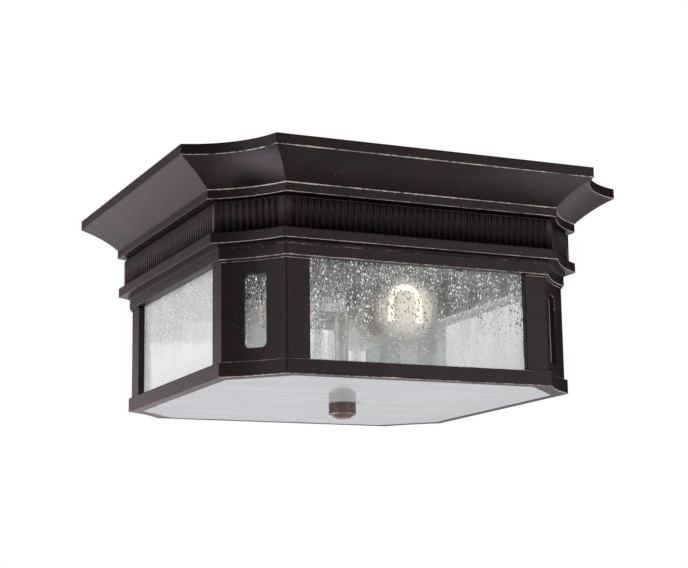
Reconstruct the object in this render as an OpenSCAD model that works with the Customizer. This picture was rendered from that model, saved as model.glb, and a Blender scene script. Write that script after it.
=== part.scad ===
// Square outdoor ceiling light with hollowed corners. The origin is on the ceiling
// plane at the middle of the mounting strap. The light hangs below it, and +Z is up.

/* [Cage] */
// Width across the flat faces of the corner posts
cage_w = 259.6; // [245:0.2:275]
// Height of the windows between the band and the rim
cage_h = 67.4; // [62:0.2:80]
// Wall of the corner posts
post_t = 4.4; // [3.6:0.1:5]
// Flat strip of a post beside each window
pilaster_w = 16.7; // [15:0.1:19]
// Radius of the hollow corners at the post's face
body_curve_r = 123.9; // [112:0.1:140]
// Distance along a face from the square's own corner back to the hollow one
body_corner_back = 32.6; // [31:0.1:34]
// Width of the slot in a corner
slot_w = 16; // [12:0.5:18]
// Height of the slot in a corner
slot_h = 49; // [40:0.5:50]
// Corner radius of the slot
slot_r = 3.5; // [2:0.1:5]
// Distance from the band down to the slot
slot_drop = 9.8; // [9:0.1:12]
// Height of the thin strip at the top of a post
post_cap_h = 1.6; // [1:0.1:2.5]
// How far that strip stands out
post_cap_proj = 0.9; // [0.5:0.1:1.5]

/* [Rim] */
// How far the bottom rim stands out from the posts
rim_proj = 2; // [1:0.1:4]
// Height of the bottom rim
rim_h = 10.2; // [9.6:0.1:13]
// Depth of the seats for the side panes in the top of the rim
pane_seat = 2; // [1.5:0.1:2.5]
// How far the rim's inner shelf reaches over the edge of the bottom glass
shelf_lap = 6.4; // [5:0.1:8]

/* [Frieze] */
// How far the frieze stands out from the posts
frieze_proj = 5.9; // [5:0.1:8]
// Height of the fluted frieze
frieze_h = 20.8; // [16:0.2:26]
// Height of the recessed strip over the frieze
quirk_h = 2; // [1:0.1:3]
// Depth of that recess
quirk_in = 1.5; // [1:0.1:2]
// Distance from one flute to the next
flute_pitch = 4.7; // [4.2:0.1:7]
// Width of a flute
flute_w = 3.6; // [2.5:0.1:4]
// Depth of a flute
flute_d = 1.3; // [0.8:0.1:1.7]
// Plain end beside the flutes
flute_margin = 4; // [2:0.5:10]
// How far the ledge stands out from the frieze
ledge_proj = 3.6; // [2:0.1:5]
// Height of the ledge
ledge_h = 7.1; // [6.5:0.1:9]
// How far the bead under the ledge stands out from the band
bead_proj = 1.2; // [0.5:0.1:1.8]
// Height of the bead
bead_h = 2; // [1.5:0.1:3]
// How far the band stands out from the posts
band_proj = 2; // [1.5:0.1:3]
// Height of the band below the bead
band_h = 7.8; // [6:0.1:10]
// Wall behind the flutes
wall = 3.2; // [2.8:0.1:3.4]

/* [Cornice] */
// How far the lower strip of the cornice stands out from the frieze
fillet_proj = 5.1; // [4.5:0.1:7]
// Height of that strip
fillet_h = 6.3; // [5:0.1:8]
// How far the cove stands out from that strip
cove_proj = 24.2; // [20:0.2:28]
// Height of the cove
cove_h = 17.4; // [15:0.2:20]
// Depth of the cove's hollow at its middle
cove_dip = 1.2; // [0.8:0.1:2]
// Height of the top edge
fascia_h = 7.2; // [6:0.1:9]
// Radius of the cornice's hollow corners at its outer edge
crown_curve_r = 68.1; // [62:0.1:72]
// Distance along the edge from the square's own corner back to that hollow one
crown_corner_back = 47.3; // [45:0.1:49]
// Wall of the cornice
crown_wall = 3.6; // [3:0.1:4.5]
// Width of the cornice's inner flange
flange_w = 20; // [18:0.5:22]
// Thickness of that flange
flange_t = 3; // [2.5:0.1:4]

/* [Ceiling gasket] */
// Thickness of the foam strip
foam_t = 3; // [2:0.1:3.5]
// Width of the foam strip
foam_w = 5.6; // [4:0.1:6]

/* [Reflector] */
// Thickness of the reflector's sheet
sheet_t = 1.2; // [0.8:0.1:1.5]
// Depth of the reflector's folded sides
skirt_h = 25; // [15:0.5:25]
// Distance from a folded side's end to the window's edge line
skirt_over = 6; // [2:0.5:8]

/* [Side glass] */
// Thickness of the side panes and the corner strips
pane_t = 3; // [2.5:0.1:3.5]
// How far a pane reaches behind the posts
pane_lap = 7.5; // [6:0.1:8]
// How far a pane reaches up behind the band
pane_up = 4; // [2:0.1:5]
// Width of the glass strip behind a slot
strip_w = 26; // [24:0.5:27]

/* [Bottom glass] */
// Width of the bottom glass
bottom_w = 246.8; // [242:0.2:248]
// Thickness of the bottom glass
bottom_t = 4; // [3:0.1:5]
// Distance from the middle to a cut corner, along either side and back, added up
bottom_cut = 212; // [206:0.5:214]
// Thickness of the gasket over the bottom glass
gasket_t = 0.8; // [0.5:0.1:1.2]
// Width of that gasket
gasket_w = 4.5; // [3:0.1:5]

/* [Stem and finial] */
// Diameter of the threaded stem
stem_d = 10; // [8:0.1:12]
// Length of the stem above the reflector
stem_over = 6.5; // [6:0.1:9]
// Width across the flats of the stem nuts
stem_nut_w = 15; // [14:0.5:18]
// Height of a stem nut
stem_nut_h = 4; // [3:0.1:5]
// Diameter of the finial
finial_d = 20; // [18:0.2:26]
// Height of the finial's straight part
finial_h = 8.2; // [8:0.1:12]
// Height of the finial's bevelled end
finial_bevel = 3; // [2:0.1:4]
// Diameter of the finial's flat end
finial_end_d = 10.2; // [8:0.1:14]
// How far the stem reaches into the finial
stem_bite = 8.2; // [6:0.1:8.6]

/* [Mounting strap] */
// Length of the strap
strap_l = 134; // [130:1:150]
// Width of the strap
strap_w = 26; // [20:1:32]
// Thickness of the strap
strap_t = 2.5; // [2:0.1:3]
// Distance between the slots for the ceiling box screws
box_pitch = 88.9; // [84:0.1:92]
// Width of these slots
box_slot_w = 5; // [4.5:0.1:6]
// Length of these slots
box_slot_l = 16; // [10:0.5:17]
// Distance between the two studs
stud_pitch = 119; // [116:0.5:122]

/* [Lamps] */
// Distance of a lamp's axis from the stem's axis
lamp_x = 42; // [40:0.5:50]
// Distance of a globe's centre in front of or behind the stem
lamp_y = 22; // [18:0.5:26]
// Drop of the lamps' axes below the ceiling
lamp_drop = 79; // [74:0.5:88]
// Diameter of a lamp's globe
globe_d = 60; // [54:0.5:64]
// Thickness of a globe's glass
globe_t = 1; // [0.8:0.1:1.5]
// Radius of the glowing arch
glow_r = 13; // [9:0.5:14]
// Diameter of a lampholder
socket_d = 39; // [36:0.5:42]
// Length of a lampholder
socket_l = 40; // [38:0.5:44]
// Width of a lampholder bracket
bracket_w = 30; // [26:0.5:36]

/* [Fits] */
// Radius of the small screws
screw_r = 2; // [1.8:0.05:2.2]
// Gap round a screw in its hole
screw_gap = 0.1; // [0.05:0.05:0.2]
// Gap between glass and metal
glass_gap = 0.3; // [0.2:0.05:0.5]
// Running gap of the finial on the stem
thread_gap = 0.05; // [0.03:0.01:0.08]
// Gap between a lamp's screw cap and its holder
cap_gap = 0.45; // [0.3:0.05:0.6]

/* [Hidden] */
$fn = 96;

// Overlap of joined solids and overrun of cuts
eps = 0.5;
bronze = [0.16, 0.13, 0.12];
clear = [0.82, 0.86, 0.84, 0.35];
steel = [0.62, 0.62, 0.6];
brass = [0.72, 0.58, 0.32];
porcelain = [0.9, 0.89, 0.86];

// Half widths of the mouldings, from the posts outwards
cage_half = cage_w / 2;
band_half = cage_half + band_proj;
bead_half = band_half + bead_proj;
rim_half = cage_half + rim_proj;
frieze_half = cage_half + frieze_proj;
ledge_half = frieze_half + ledge_proj;
fillet_half = frieze_half + fillet_proj;
crown_half = fillet_half + cove_proj;
post_in = cage_half - post_t;
cavity_half = frieze_half - flute_d - wall;

// Heights of the mouldings, from the ceiling down
z_fascia = -fascia_h;
z_cove = z_fascia - cove_h;
z_fillet = z_cove - fillet_h;
z_frieze = z_fillet - quirk_h - frieze_h;
z_ledge = z_frieze - ledge_h;
z_bead = z_ledge - bead_h;
z_band = z_bead - band_h;
z_rim = z_band - cage_h;
z_bottom = z_rim - rim_h;

// Hollow corners: every level of the body is struck from one centre, and so is the cornice.
// The centre lies as far out as puts both ends of the arc on the faces
function centre_out(r, back) = (sqrt(2 * r * r - back * back) - back) / 2;
body_centre = cage_half + centre_out(body_curve_r, body_corner_back);
crown_centre = crown_half + centre_out(crown_curve_r, crown_corner_back);
function body_r(half) = body_curve_r + cage_half - half;
function crown_r(half) = crown_curve_r + crown_half - half;
function body_corner(half) = body_centre - sqrt(pow(body_r(half), 2) - pow(body_centre - half, 2));
function body_diagonal(half) = body_centre * sqrt(2) - body_r(half);
function crown_diagonal(half) = crown_centre * sqrt(2) - crown_r(half);

// Corner fixings, as distances from the middle along a diagonal
ear_t = 3;
ear_w = 13;
boss_r = 4.5;
head_r = 3.4;
head_h = 2.2;
screw_hole_r = screw_r + screw_gap;
strip_out = body_diagonal(post_in) - glass_gap;
strip_in = strip_out - pane_t;
post_screw_at = strip_in - head_r - 0.8;
ear_in = post_screw_at - boss_r;
body_screw_at = body_diagonal(cavity_half) - 9.7;
boss_top_h = 10;
crown_boss_h = 7;

// Windows, panes and strips
window_half = body_corner(cage_half) - pilaster_w;
pane_half = window_half + pane_lap;
pane_out = post_in - glass_gap;
pane_in = pane_out - pane_t;
pane_top = z_band + pane_up;
pane_bottom = z_rim - pane_seat;
strip_top = z_band - ear_t - 2 * glass_gap;
strip_bottom = z_rim + ear_t;

// Clips beside the panes: a foot on the post, a riser and a tongue over the glass
clip_t = 0.8;
clip_h = 12;
clip_tongue = 6;
clip_screw_r = 1.5;
clip_bite = 3.2;
clip_foot = 5.2;
clip_edge = pane_half + glass_gap;
clip_screw_at = clip_edge + clip_t + clip_foot / 2;

// Bottom glass and what it seats on
bottom_half = bottom_w / 2;
glass_top = z_bottom + bottom_t;
shelf_z = glass_top + gasket_t;
shelf_half = bottom_half - shelf_lap;
shelf_cut = bottom_cut - 2 * shelf_lap + 0.8;
recess_gap = 0.8;

// Reflector pan and stem
pan_top = z_fillet;
pan_bottom = pan_top - sheet_t;
pan_half = cavity_half - 0.5;
stem_top = pan_top + stem_over;
stem_bottom = z_bottom - stem_bite;
stem_r = stem_d / 2;
washer_t = 0.8;
washer_r = stem_r + 2.6;

// Lamp sizes along its own axis, counted from the globe's centre towards the cap
globe_r = globe_d / 2;
neck_r = 13.4;
neck_at = 46;
cap_at = 52;
cap_r = 13.1;
cap_l = 20;
cap_cone = 4;
cap_tip = 1.5;
cap_wall = 0.8;
tip_r = 4.5;
cap_end = cap_at + cap_l + cap_cone + cap_tip;
socket_mouth = cap_at - 4;
socket_rear = socket_mouth + socket_l;
socket_r = socket_d / 2;
shell_r = cap_r + cap_gap;
shell_t = 0.4;
shell_l = 25;
socket_bore_r = shell_r + shell_t;
contact_t = 1.2;
socket_floor = cap_end + contact_t + 0.3;
bracket_t = 1.5;
bracket_reach = 16;
lead_r = 1.3;
lead_apart = 3;
lead_at = 24;
grommet_r = 6;
grommet_bore = lead_apart + lead_r + 0.3;
grommet_lip = 1.2;
lamp_z = -lamp_drop;

// Studs and small screws
stud_r = 2;
cap_nut_w = 8;
cap_nut_h = 4;
stud_nut_h = 3.2;
ground_x = 14;
ground_reach = 30;
pan_ground = [ground_x, 22];
bend_r = 3.5;
lead_run_z = pan_top + 4;
lead_end_z = pan_top + 9;
connector_h = 16;
connector_black = [-20, 36];
connector_white = [20, -36];

// Corners of the square, counted anticlockwise from the rear right one
module at_corner(i) {
    rotate([0, 0, 45 + 90 * i]) children();
}

module body_outline(half) {
    difference() {
        square(2 * half, center = true);
        for (i = [0:3]) rotate(90 * i)
            translate([body_centre, body_centre]) circle(r = body_r(half), $fn = 360);
    }
}

module crown_outline(half) {
    difference() {
        square(2 * half, center = true);
        for (i = [0:3]) rotate(90 * i)
            translate([crown_centre, crown_centre]) circle(r = crown_r(half), $fn = 240);
    }
}

// A square with its corners cut off along |x| + |y| = cut
module cut_square(half, cut) {
    intersection() {
        square(2 * half, center = true);
        rotate(45) square(cut * sqrt(2), center = true);
    }
}

module slab(top, bottom) {
    translate([0, 0, bottom]) linear_extrude(top - bottom) children();
}

// A straight round rod from p to q
module rod(p, q, r) {
    d = q - p;
    translate(p) rotate([0, acos(d[2] / norm(d)), atan2(d[1], d[0])])
        cylinder(r = r, h = norm(d), $fn = 24);
}

// A wire in the upright plane through the X axis. Its points are [x, z], its runs
// are level or upright, and every turn is a quarter ring
module wire(points) {
    last = len(points) - 1;
    for (i = [0:last - 1]) {
        way = heading(points, i);
        p = points[i] + way * (i > 0 ? bend_r : 0);
        q = points[i + 1] - way * (i < last - 1 ? bend_r : 0);
        rod([p[0], 0, p[1]], [q[0], 0, q[1]], lead_r);
    }
    for (i = [1:last - 1]) {
        before = heading(points, i - 1);
        after = heading(points, i);
        middle = points[i] + (after - before) * bend_r;
        left = before[0] * after[1] - before[1] * after[0] > 0;
        from = left ? -after : before;
        translate([middle[0], 0, middle[1]]) rotate([90, 0, 0])
            rotate([0, 0, atan2(from[1], from[0])])
                rotate_extrude(angle = 90, $fn = 48) translate([bend_r, 0])
                    circle(r = lead_r, $fn = 24);
    }
}

function heading(points, i) = (points[i + 1] - points[i]) / norm(points[i + 1] - points[i]);

// A moulding run round the square: its half profile is mitred, and the same
// profile turned about each corner's centre hollows the corner out. The profile
// runs past the cornice's top and bottom by twice the overrun
module mitred() {
    reach = crown_half + 10;
    difference() {
        intersection() {
            rotate([90, 0, 0]) linear_extrude(2 * reach, center = true) both_halves() children();
            rotate([90, 0, 90]) linear_extrude(2 * reach, center = true) both_halves() children();
        }
        for (i = [0:3]) rotate([0, 0, 90 * i]) translate([crown_centre, crown_centre, 0])
            rotate_extrude($fn = 240) difference() {
                translate([0, z_fillet - eps])
                    square([crown_r(fillet_half - flange_w) + 10, 2 * eps - z_fillet]);
                translate([crown_curve_r + crown_half, 0]) mirror([1, 0]) children();
            }
    }
}

module both_halves() {
    children();
    mirror([1, 0]) children();
}

module cornice_profile() {
    run = [cove_proj, cove_h];
    chord = norm(run);
    cove_r = (chord * chord / 4 + cove_dip * cove_dip) / (2 * cove_dip);
    middle = [crown_half - cove_proj / 2, z_fascia - cove_h / 2];
    outward = [cove_h, -cove_proj] / chord;
    difference() {
        polygon([[-1, 2 * eps], [crown_half, 2 * eps], [crown_half, z_fascia],
            [fillet_half, z_cove], [fillet_half, z_fillet - 2 * eps], [-1, z_fillet - 2 * eps]]);
        intersection() {
            translate(middle + outward * (cove_r - cove_dip)) circle(r = cove_r, $fn = 360);
            translate([0, z_cove]) square([crown_half + 1, cove_h]);
        }
    }
}

module cornice_cavity() {
    lip = foam_w + glass_gap;
    seat = crown_half - crown_wall;
    slope_drop = (crown_wall + cove_dip) * norm([cove_proj, cove_h]) / cove_proj;
    function slope_z(w) = z_fascia - (crown_half - w) * cove_h / cove_proj + slope_drop;
    low = fillet_half - crown_wall;
    polygon([[-1, 2 * eps], [seat, 2 * eps], [seat, -foam_t], [seat - lip, -foam_t],
        [seat - lip, slope_z(seat - lip)], [low, slope_z(low)], [low, z_fillet + flange_t],
        [fillet_half - flange_w, z_fillet + flange_t],
        [fillet_half - flange_w, z_fillet - 2 * eps], [-1, z_fillet - 2 * eps]]);
}

module cornice() {
    color(bronze) difference() {
        union() {
            intersection() {
                slab(0, z_fillet) square(2 * crown_half + 4, center = true);
                difference() {
                    mitred() cornice_profile();
                    mitred() cornice_cavity();
                }
            }
            for (i = [0:3]) at_corner(i) translate([body_screw_at, 0, z_fillet + flange_t / 2])
                cylinder(r = boss_r, h = flange_t / 2 + crown_boss_h);
        }
        for (i = [0:3]) at_corner(i) translate([body_screw_at, 0, z_fillet - eps])
            cylinder(r = screw_hole_r, h = flange_t + crown_boss_h - 1 + eps);
    }
}

module ceiling_gasket() {
    seat = crown_half - crown_wall - glass_gap;
    color([0.1, 0.1, 0.1]) slab(0, -foam_t) difference() {
        crown_outline(seat);
        crown_outline(seat - foam_w);
    }
}

module flute_marks() {
    flute_r = (flute_w * flute_w / 4 + flute_d * flute_d) / (2 * flute_d);
    side = body_corner(frieze_half);
    n_side = floor((2 * side - 2 * flute_margin) / flute_pitch);
    radius = body_r(frieze_half);
    half_turn = asin((frieze_half - side) / sqrt(2) / radius);
    margin_turn = flute_margin / radius * 180 / PI;
    pitch_turn = flute_pitch / radius * 180 / PI;
    n_corner = floor((2 * half_turn - 2 * margin_turn) / pitch_turn);
    for (i = [0:3]) rotate(90 * i) {
        for (k = [0:n_side - 1])
            translate([frieze_half + flute_r - flute_d, (k - (n_side - 1) / 2) * flute_pitch])
                circle(r = flute_r, $fn = 32);
        for (k = [0:n_corner - 1])
            translate([body_centre, body_centre])
                rotate(225 + (k - (n_corner - 1) / 2) * pitch_turn)
                    translate([radius - flute_r + flute_d, 0]) circle(r = flute_r, $fn = 32);
    }
}

module frieze_body() {
    step_z = z_ledge + ledge_h / 2;
    color(bronze) difference() {
        union() {
            difference() {
                union() {
                    slab(z_fillet, z_fillet - quirk_h) body_outline(frieze_half - quirk_in);
                    slab(z_fillet - quirk_h, z_frieze) difference() {
                        body_outline(frieze_half);
                        flute_marks();
                    }
                    slab(z_frieze, z_ledge) body_outline(ledge_half);
                    slab(z_ledge, z_bead) body_outline(bead_half);
                    slab(z_bead, z_band) body_outline(band_half);
                }
                slab(z_fillet + eps, step_z) body_outline(cavity_half);
                slab(step_z + eps, z_band - eps) body_outline(post_in);
            }
            for (i = [0:3]) at_corner(i) {
                translate([body_screw_at - boss_r - 1, -ear_w / 2, pan_bottom - ear_t])
                    cube([body_diagonal(cavity_half) + 1 - body_screw_at + boss_r + 1, ear_w, ear_t]);
                translate([post_screw_at, 0, z_band]) cylinder(r = boss_r, h = boss_top_h);
                translate([post_screw_at, -boss_r + 1, z_band])
                    cube([body_diagonal(post_in) + 1.5 - post_screw_at, 2 * boss_r - 2, boss_top_h]);
            }
        }
        for (i = [0:3]) at_corner(i) {
            translate([body_screw_at, 0, pan_bottom - ear_t - eps])
                cylinder(r = screw_hole_r, h = ear_t + 2 * eps);
            translate([post_screw_at, 0, z_band - eps])
                cylinder(r = screw_hole_r, h = boss_top_h - 1 + eps);
        }
    }
}

module reflector_pan() {
    color("white") difference() {
        union() {
            slab(pan_top, pan_bottom) body_outline(pan_half);
            for (i = [0:3]) rotate([0, 0, 90 * i])
                translate([pan_half - sheet_t, -window_half - skirt_over, pan_top - skirt_h])
                    cube([sheet_t, 2 * (window_half + skirt_over), skirt_h]);
        }
        translate([0, 0, pan_bottom - eps]) {
            cylinder(r = stem_r + 0.25, h = sheet_t + 2 * eps);
            for (i = [0:3]) at_corner(i) translate([body_screw_at, 0, 0])
                cylinder(r = screw_hole_r, h = sheet_t + 2 * eps);
            for (side = [-1, 1]) translate([side * stud_pitch / 2, 0, 0])
                cylinder(r = stud_r + 0.5, h = sheet_t + 2 * eps);
            translate(pan_ground) cylinder(r = screw_hole_r, h = sheet_t + 2 * eps);
            for (side = [0, 1]) rotate([0, 0, 180 * side]) {
                translate([lamp_x, lead_y(), 0]) cylinder(r = grommet_r, h = sheet_t + 2 * eps);
                for (k = [-1, 1]) translate([lamp_x + k * bracket_w / 4, bracket_screw_y(), 0])
                    cylinder(r = screw_hole_r, h = sheet_t + 2 * eps);
            }
        }
    }
}

module slot_shape() {
    for (sx = [-1, 1]) for (sy = [-1, 1])
        translate([sx * (slot_h / 2 - slot_r), sy * (slot_w / 2 - slot_r)]) circle(r = slot_r);
    square([slot_h - 2 * slot_r, slot_w], center = true);
    square([slot_h, slot_w - 2 * slot_r], center = true);
}

module strip_guides() {
    rib = 2.5;
    lip = 1.5;
    edge = strip_w / 2 + glass_gap;
    slab(strip_top, strip_bottom) for (side = [-1, 1]) scale([1, side]) {
        translate([strip_in - lip, edge]) square([body_diagonal(post_in) + 2 - strip_in + lip, rib]);
        translate([strip_in - lip, edge - lip]) square([lip - glass_gap / 2, lip + eps]);
    }
}

module corner_post(i) {
    clip_z = [z_band - cage_h / 4, z_rim + cage_h / 4];
    color(bronze) rotate([0, 0, 90 * i]) difference() {
        union() {
            slab(z_band, z_rim) post_plan(cage_half);
            slab(z_band, z_band - post_cap_h) post_plan(cage_half + post_cap_proj);
            at_corner(0) {
                for (z = [z_band - ear_t, z_rim]) translate([ear_in, -ear_w / 2, z])
                    cube([body_diagonal(post_in) + 1.5 - ear_in, ear_w, ear_t]);
                strip_guides();
            }
        }
        at_corner(0) {
            translate([0, 0, z_band - slot_drop - slot_h / 2]) rotate([0, 90, 0])
                linear_extrude(2 * body_centre) slot_shape();
            translate([post_screw_at, 0, z_band - ear_t - eps])
                cylinder(r = screw_hole_r, h = ear_t + 2 * eps);
            translate([post_screw_at, 0, z_rim - eps])
                cylinder(r = screw_hole_r, h = ear_t + 2 * eps);
        }
        for (z = clip_z) {
            translate([post_in - eps, clip_screw_at, z]) rotate([0, 90, 0])
                cylinder(r = clip_screw_r + 0.05, h = clip_bite + eps, $fn = 32);
            translate([clip_screw_at, post_in - eps, z]) rotate([-90, 0, 0])
                cylinder(r = clip_screw_r + 0.05, h = clip_bite + eps, $fn = 32);
        }
    }
}

// Plan of one post: the wall of the cage inside the square beyond the windows
module post_plan(half) {
    intersection() {
        difference() {
            body_outline(half);
            body_outline(post_in);
        }
        translate([window_half, window_half]) square(cage_half);
    }
}

module rim_frame() {
    color(bronze) difference() {
        slab(z_rim, z_bottom) body_outline(rim_half);
        slab(z_rim + eps, z_bottom - eps) cut_square(shelf_half, shelf_cut);
        slab(shelf_z, z_bottom - eps)
            cut_square(bottom_half + recess_gap, bottom_cut + 2 * recess_gap);
        for (i = [0:3]) rotate([0, 0, 90 * i])
            translate([shelf_half - 1, -pane_half - glass_gap, pane_bottom])
                cube([post_in - shelf_half + 1, 2 * (pane_half + glass_gap), pane_seat + eps]);
        for (i = [0:3]) at_corner(i) translate([post_screw_at, 0, shelf_z + 0.6])
            cylinder(r = screw_hole_r, h = rim_h);
    }
}

module pane(i) {
    color(clear) rotate([0, 0, 90 * i]) translate([pane_in, -pane_half, pane_bottom])
        cube([pane_t, 2 * pane_half, pane_top - pane_bottom]);
}

module corner_glass(i) {
    color(clear) at_corner(i) translate([strip_in, -strip_w / 2, strip_bottom])
        cube([pane_t, strip_w, strip_top - strip_bottom]);
}

module at_clips() {
    for (i = [0:3]) rotate([0, 0, 90 * i]) for (side = [-1, 1])
        for (z = [z_band - cage_h / 4, z_rim + cage_h / 4])
            translate([0, 0, z]) scale([1, side, 1]) children();
}

module pane_clips() {
    color(steel) at_clips() difference() {
        union() {
            translate([post_in - clip_t, clip_edge, -clip_h / 2])
                cube([clip_t, clip_t + clip_foot, clip_h]);
            translate([pane_in - clip_t, clip_edge, -clip_h / 2])
                cube([post_in - pane_in + clip_t, clip_t, clip_h]);
            translate([pane_in - clip_t, clip_edge - clip_tongue, -clip_h / 2])
                cube([clip_t, clip_tongue + clip_t, clip_h]);
        }
        translate([post_in - clip_t - eps, clip_screw_at, 0]) rotate([0, 90, 0])
            cylinder(r = clip_screw_r + screw_gap, h = clip_t + 2 * eps, $fn = 32);
    }
}

module clip_screws() {
    color(steel) at_clips() translate([post_in - clip_t, clip_screw_at, 0]) rotate([0, 90, 0]) {
        cylinder(r = clip_screw_r, h = clip_t + clip_bite - 0.2, $fn = 32);
        translate([0, 0, -1.6]) cylinder(r = 2.4, h = 1.6, $fn = 32);
    }
}

// A pan head screw with its head under z = 0 and its shank going up
module screw_up(length) {
    cylinder(r = screw_r, h = length, $fn = 32);
    translate([0, 0, -head_h]) difference() {
        cylinder(r = head_r, h = head_h, $fn = 32);
        for (a = [0, 90]) rotate([0, 0, a]) translate([-head_r / 2, -0.4, -eps])
            cube([head_r, 0.8, 1 + eps]);
    }
}

module body_screws() {
    color(steel) for (i = [0:3]) at_corner(i)
        translate([body_screw_at, 0, pan_bottom - ear_t])
            screw_up(ear_t + sheet_t + flange_t + crown_boss_h - 2);
}

module post_screws_top() {
    color(steel) for (i = [0:3]) at_corner(i)
        translate([post_screw_at, 0, z_band - ear_t]) screw_up(ear_t + boss_top_h - 2);
}

module post_screws_bottom() {
    color(steel) for (i = [0:3]) at_corner(i)
        translate([post_screw_at, 0, z_rim + ear_t]) rotate([180, 0, 0])
            screw_up(z_rim + ear_t - shelf_z - 1);
}

module rim_gasket() {
    color([0.08, 0.08, 0.08]) slab(shelf_z, glass_top) difference() {
        cut_square(shelf_half + gasket_w, shelf_cut + 2 * gasket_w);
        cut_square(shelf_half, shelf_cut);
    }
}

module bottom_glass() {
    color(clear) slab(glass_top, z_bottom) difference() {
        cut_square(bottom_half, bottom_cut);
        circle(r = stem_r + 0.6);
    }
}

module glass_washer() {
    color([0.08, 0.08, 0.08]) slab(z_bottom, z_bottom - washer_t) difference() {
        circle(r = washer_r);
        circle(r = stem_r + 0.4);
    }
}

module finial() {
    r = finial_d / 2;
    low = z_bottom - finial_h - finial_bevel;
    color(bronze) difference() {
        union() {
            slab(z_bottom, z_bottom - finial_h) circle(r = r);
            translate([0, 0, low]) cylinder(r1 = finial_end_d / 2, r2 = r, h = finial_bevel);
        }
        slab(z_bottom + eps, z_bottom - washer_t) circle(r = washer_r + 0.2);
        slab(z_bottom, z_bottom - stem_bite - 0.6) circle(r = stem_r + thread_gap);
    }
}

module centre_stem() {
    color(steel) slab(stem_top, stem_bottom) difference() {
        circle(r = stem_r);
        circle(r = stem_r - 1.6);
    }
}

module hex_ring(width, bore) {
    difference() {
        circle(d = width / cos(30), $fn = 6);
        circle(r = bore);
    }
}

module stem_nuts() {
    color(steel) {
        slab(pan_top + stem_nut_h, pan_top) hex_ring(stem_nut_w, stem_r + screw_gap);
        slab(pan_bottom - washer_t, pan_bottom - washer_t - stem_nut_h)
            hex_ring(stem_nut_w, stem_r + screw_gap);
    }
}

module stem_lock_washer() {
    color(steel) slab(pan_bottom, pan_bottom - washer_t) difference() {
        circle(r = stem_nut_w / 2 + 1.5);
        circle(r = stem_r + 0.2);
        translate([0, -0.5]) square([stem_nut_w, 1]);
    }
}

module mounting_strap() {
    color(steel) slab(0, -strap_t) difference() {
        square([strap_l, strap_w], center = true);
        for (side = [-1, 1]) translate([side * box_pitch / 2, 0]) {
            square([box_slot_l - box_slot_w, box_slot_w], center = true);
            for (end = [-1, 1]) translate([end * (box_slot_l - box_slot_w) / 2, 0])
                circle(d = box_slot_w);
        }
        for (side = [-1, 1]) translate([side * stud_pitch / 2, 0]) circle(r = stud_r + screw_gap);
        translate([ground_x, 0]) circle(r = screw_hole_r);
    }
}

module strap_studs() {
    color(steel) for (side = [-1, 1]) translate([side * stud_pitch / 2, 0, 0])
        slab(0, pan_bottom - cap_nut_h - 1.5) circle(r = stud_r, $fn = 32);
}

module stud_nuts() {
    color(steel) for (side = [-1, 1]) translate([side * stud_pitch / 2, 0, 0])
        slab(-strap_t, -strap_t - stud_nut_h) hex_ring(cap_nut_w, stud_r + screw_gap);
}

module cap_nuts() {
    color(bronze) for (side = [-1, 1])
        translate([side * stud_pitch / 2, 0, pan_bottom - cap_nut_h]) difference() {
            union() {
                cylinder(d = cap_nut_w / cos(30), h = cap_nut_h, $fn = 6);
                intersection() {
                    sphere(r = cap_nut_w / 2 - 0.2, $fn = 48);
                    translate([0, 0, -cap_nut_w]) cylinder(r = cap_nut_w, h = cap_nut_w + eps);
                }
            }
            translate([0, 0, -2]) cylinder(r = stud_r + screw_gap, h = cap_nut_h + 2 + eps, $fn = 32);
        }
}

module ground_screws() {
    color([0.15, 0.5, 0.25]) {
        translate([ground_x, 0, -strap_t]) screw_up(strap_t);
        translate([pan_ground[0], pan_ground[1], pan_top]) rotate([180, 0, 0]) screw_up(sheet_t + 1);
    }
}

module ground_lead() {
    high = -strap_t - lead_r;
    low = pan_top + lead_r;
    color([0.15, 0.5, 0.25]) translate([ground_x + head_r + lead_r, 0, 0]) rotate([0, 0, 90])
        wire([[-2, high], [ground_reach, high], [ground_reach, low], [pan_ground[1] - 2, low]]);
}

// Places of the lamp's fixings in front of and behind the stem
function lead_y() = socket_rear - lead_at + lamp_axis_y();
function lamp_axis_y() = -lamp_y;
function bracket_screw_y() = lamp_axis_y() + socket_rear + bracket_t + bracket_reach / 2;

// Lamp parts are drawn along +Z from the globe's centre, with -Y upwards, then laid down
module at_lamp(side) {
    rotate([0, 0, 180 * side]) translate([lamp_x, lamp_axis_y(), lamp_z]) rotate([-90, 0, 0]) children();
}

module globe_profile(inset) {
    r = globe_r - inset;
    lean = 64;
    shoulder = [r * sin(lean), r * cos(lean)];
    intersection() {
        union() {
            circle(r = r, $fn = 120);
            polygon([[0, 0], shoulder, [neck_r - inset, neck_at], [neck_r - inset, cap_at + inset],
                [0, cap_at + inset]]);
        }
        translate([0, -globe_r]) square([globe_r, globe_r + cap_at + inset]);
    }
}

module lamp_globe(side) {
    color([1, 0.97, 0.88, 0.5]) at_lamp(side) rotate_extrude($fn = 96) difference() {
        globe_profile(0);
        globe_profile(globe_t);
    }
}

module lamp_cap(side) {
    color(brass) at_lamp(side) translate([0, 0, cap_at]) difference() {
        union() {
            cylinder(r = cap_r, h = cap_l);
            translate([0, 0, cap_l]) cylinder(r1 = cap_r - 1, r2 = tip_r, h = cap_cone);
        }
        translate([0, 0, -eps]) cylinder(r = cap_r - cap_wall, h = cap_l - 2 + eps);
    }
}

module lamp_tip(side) {
    color(steel) at_lamp(side) translate([0, 0, cap_at + cap_l + cap_cone])
        cylinder(r = tip_r - 0.5, h = cap_tip);
}

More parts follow.
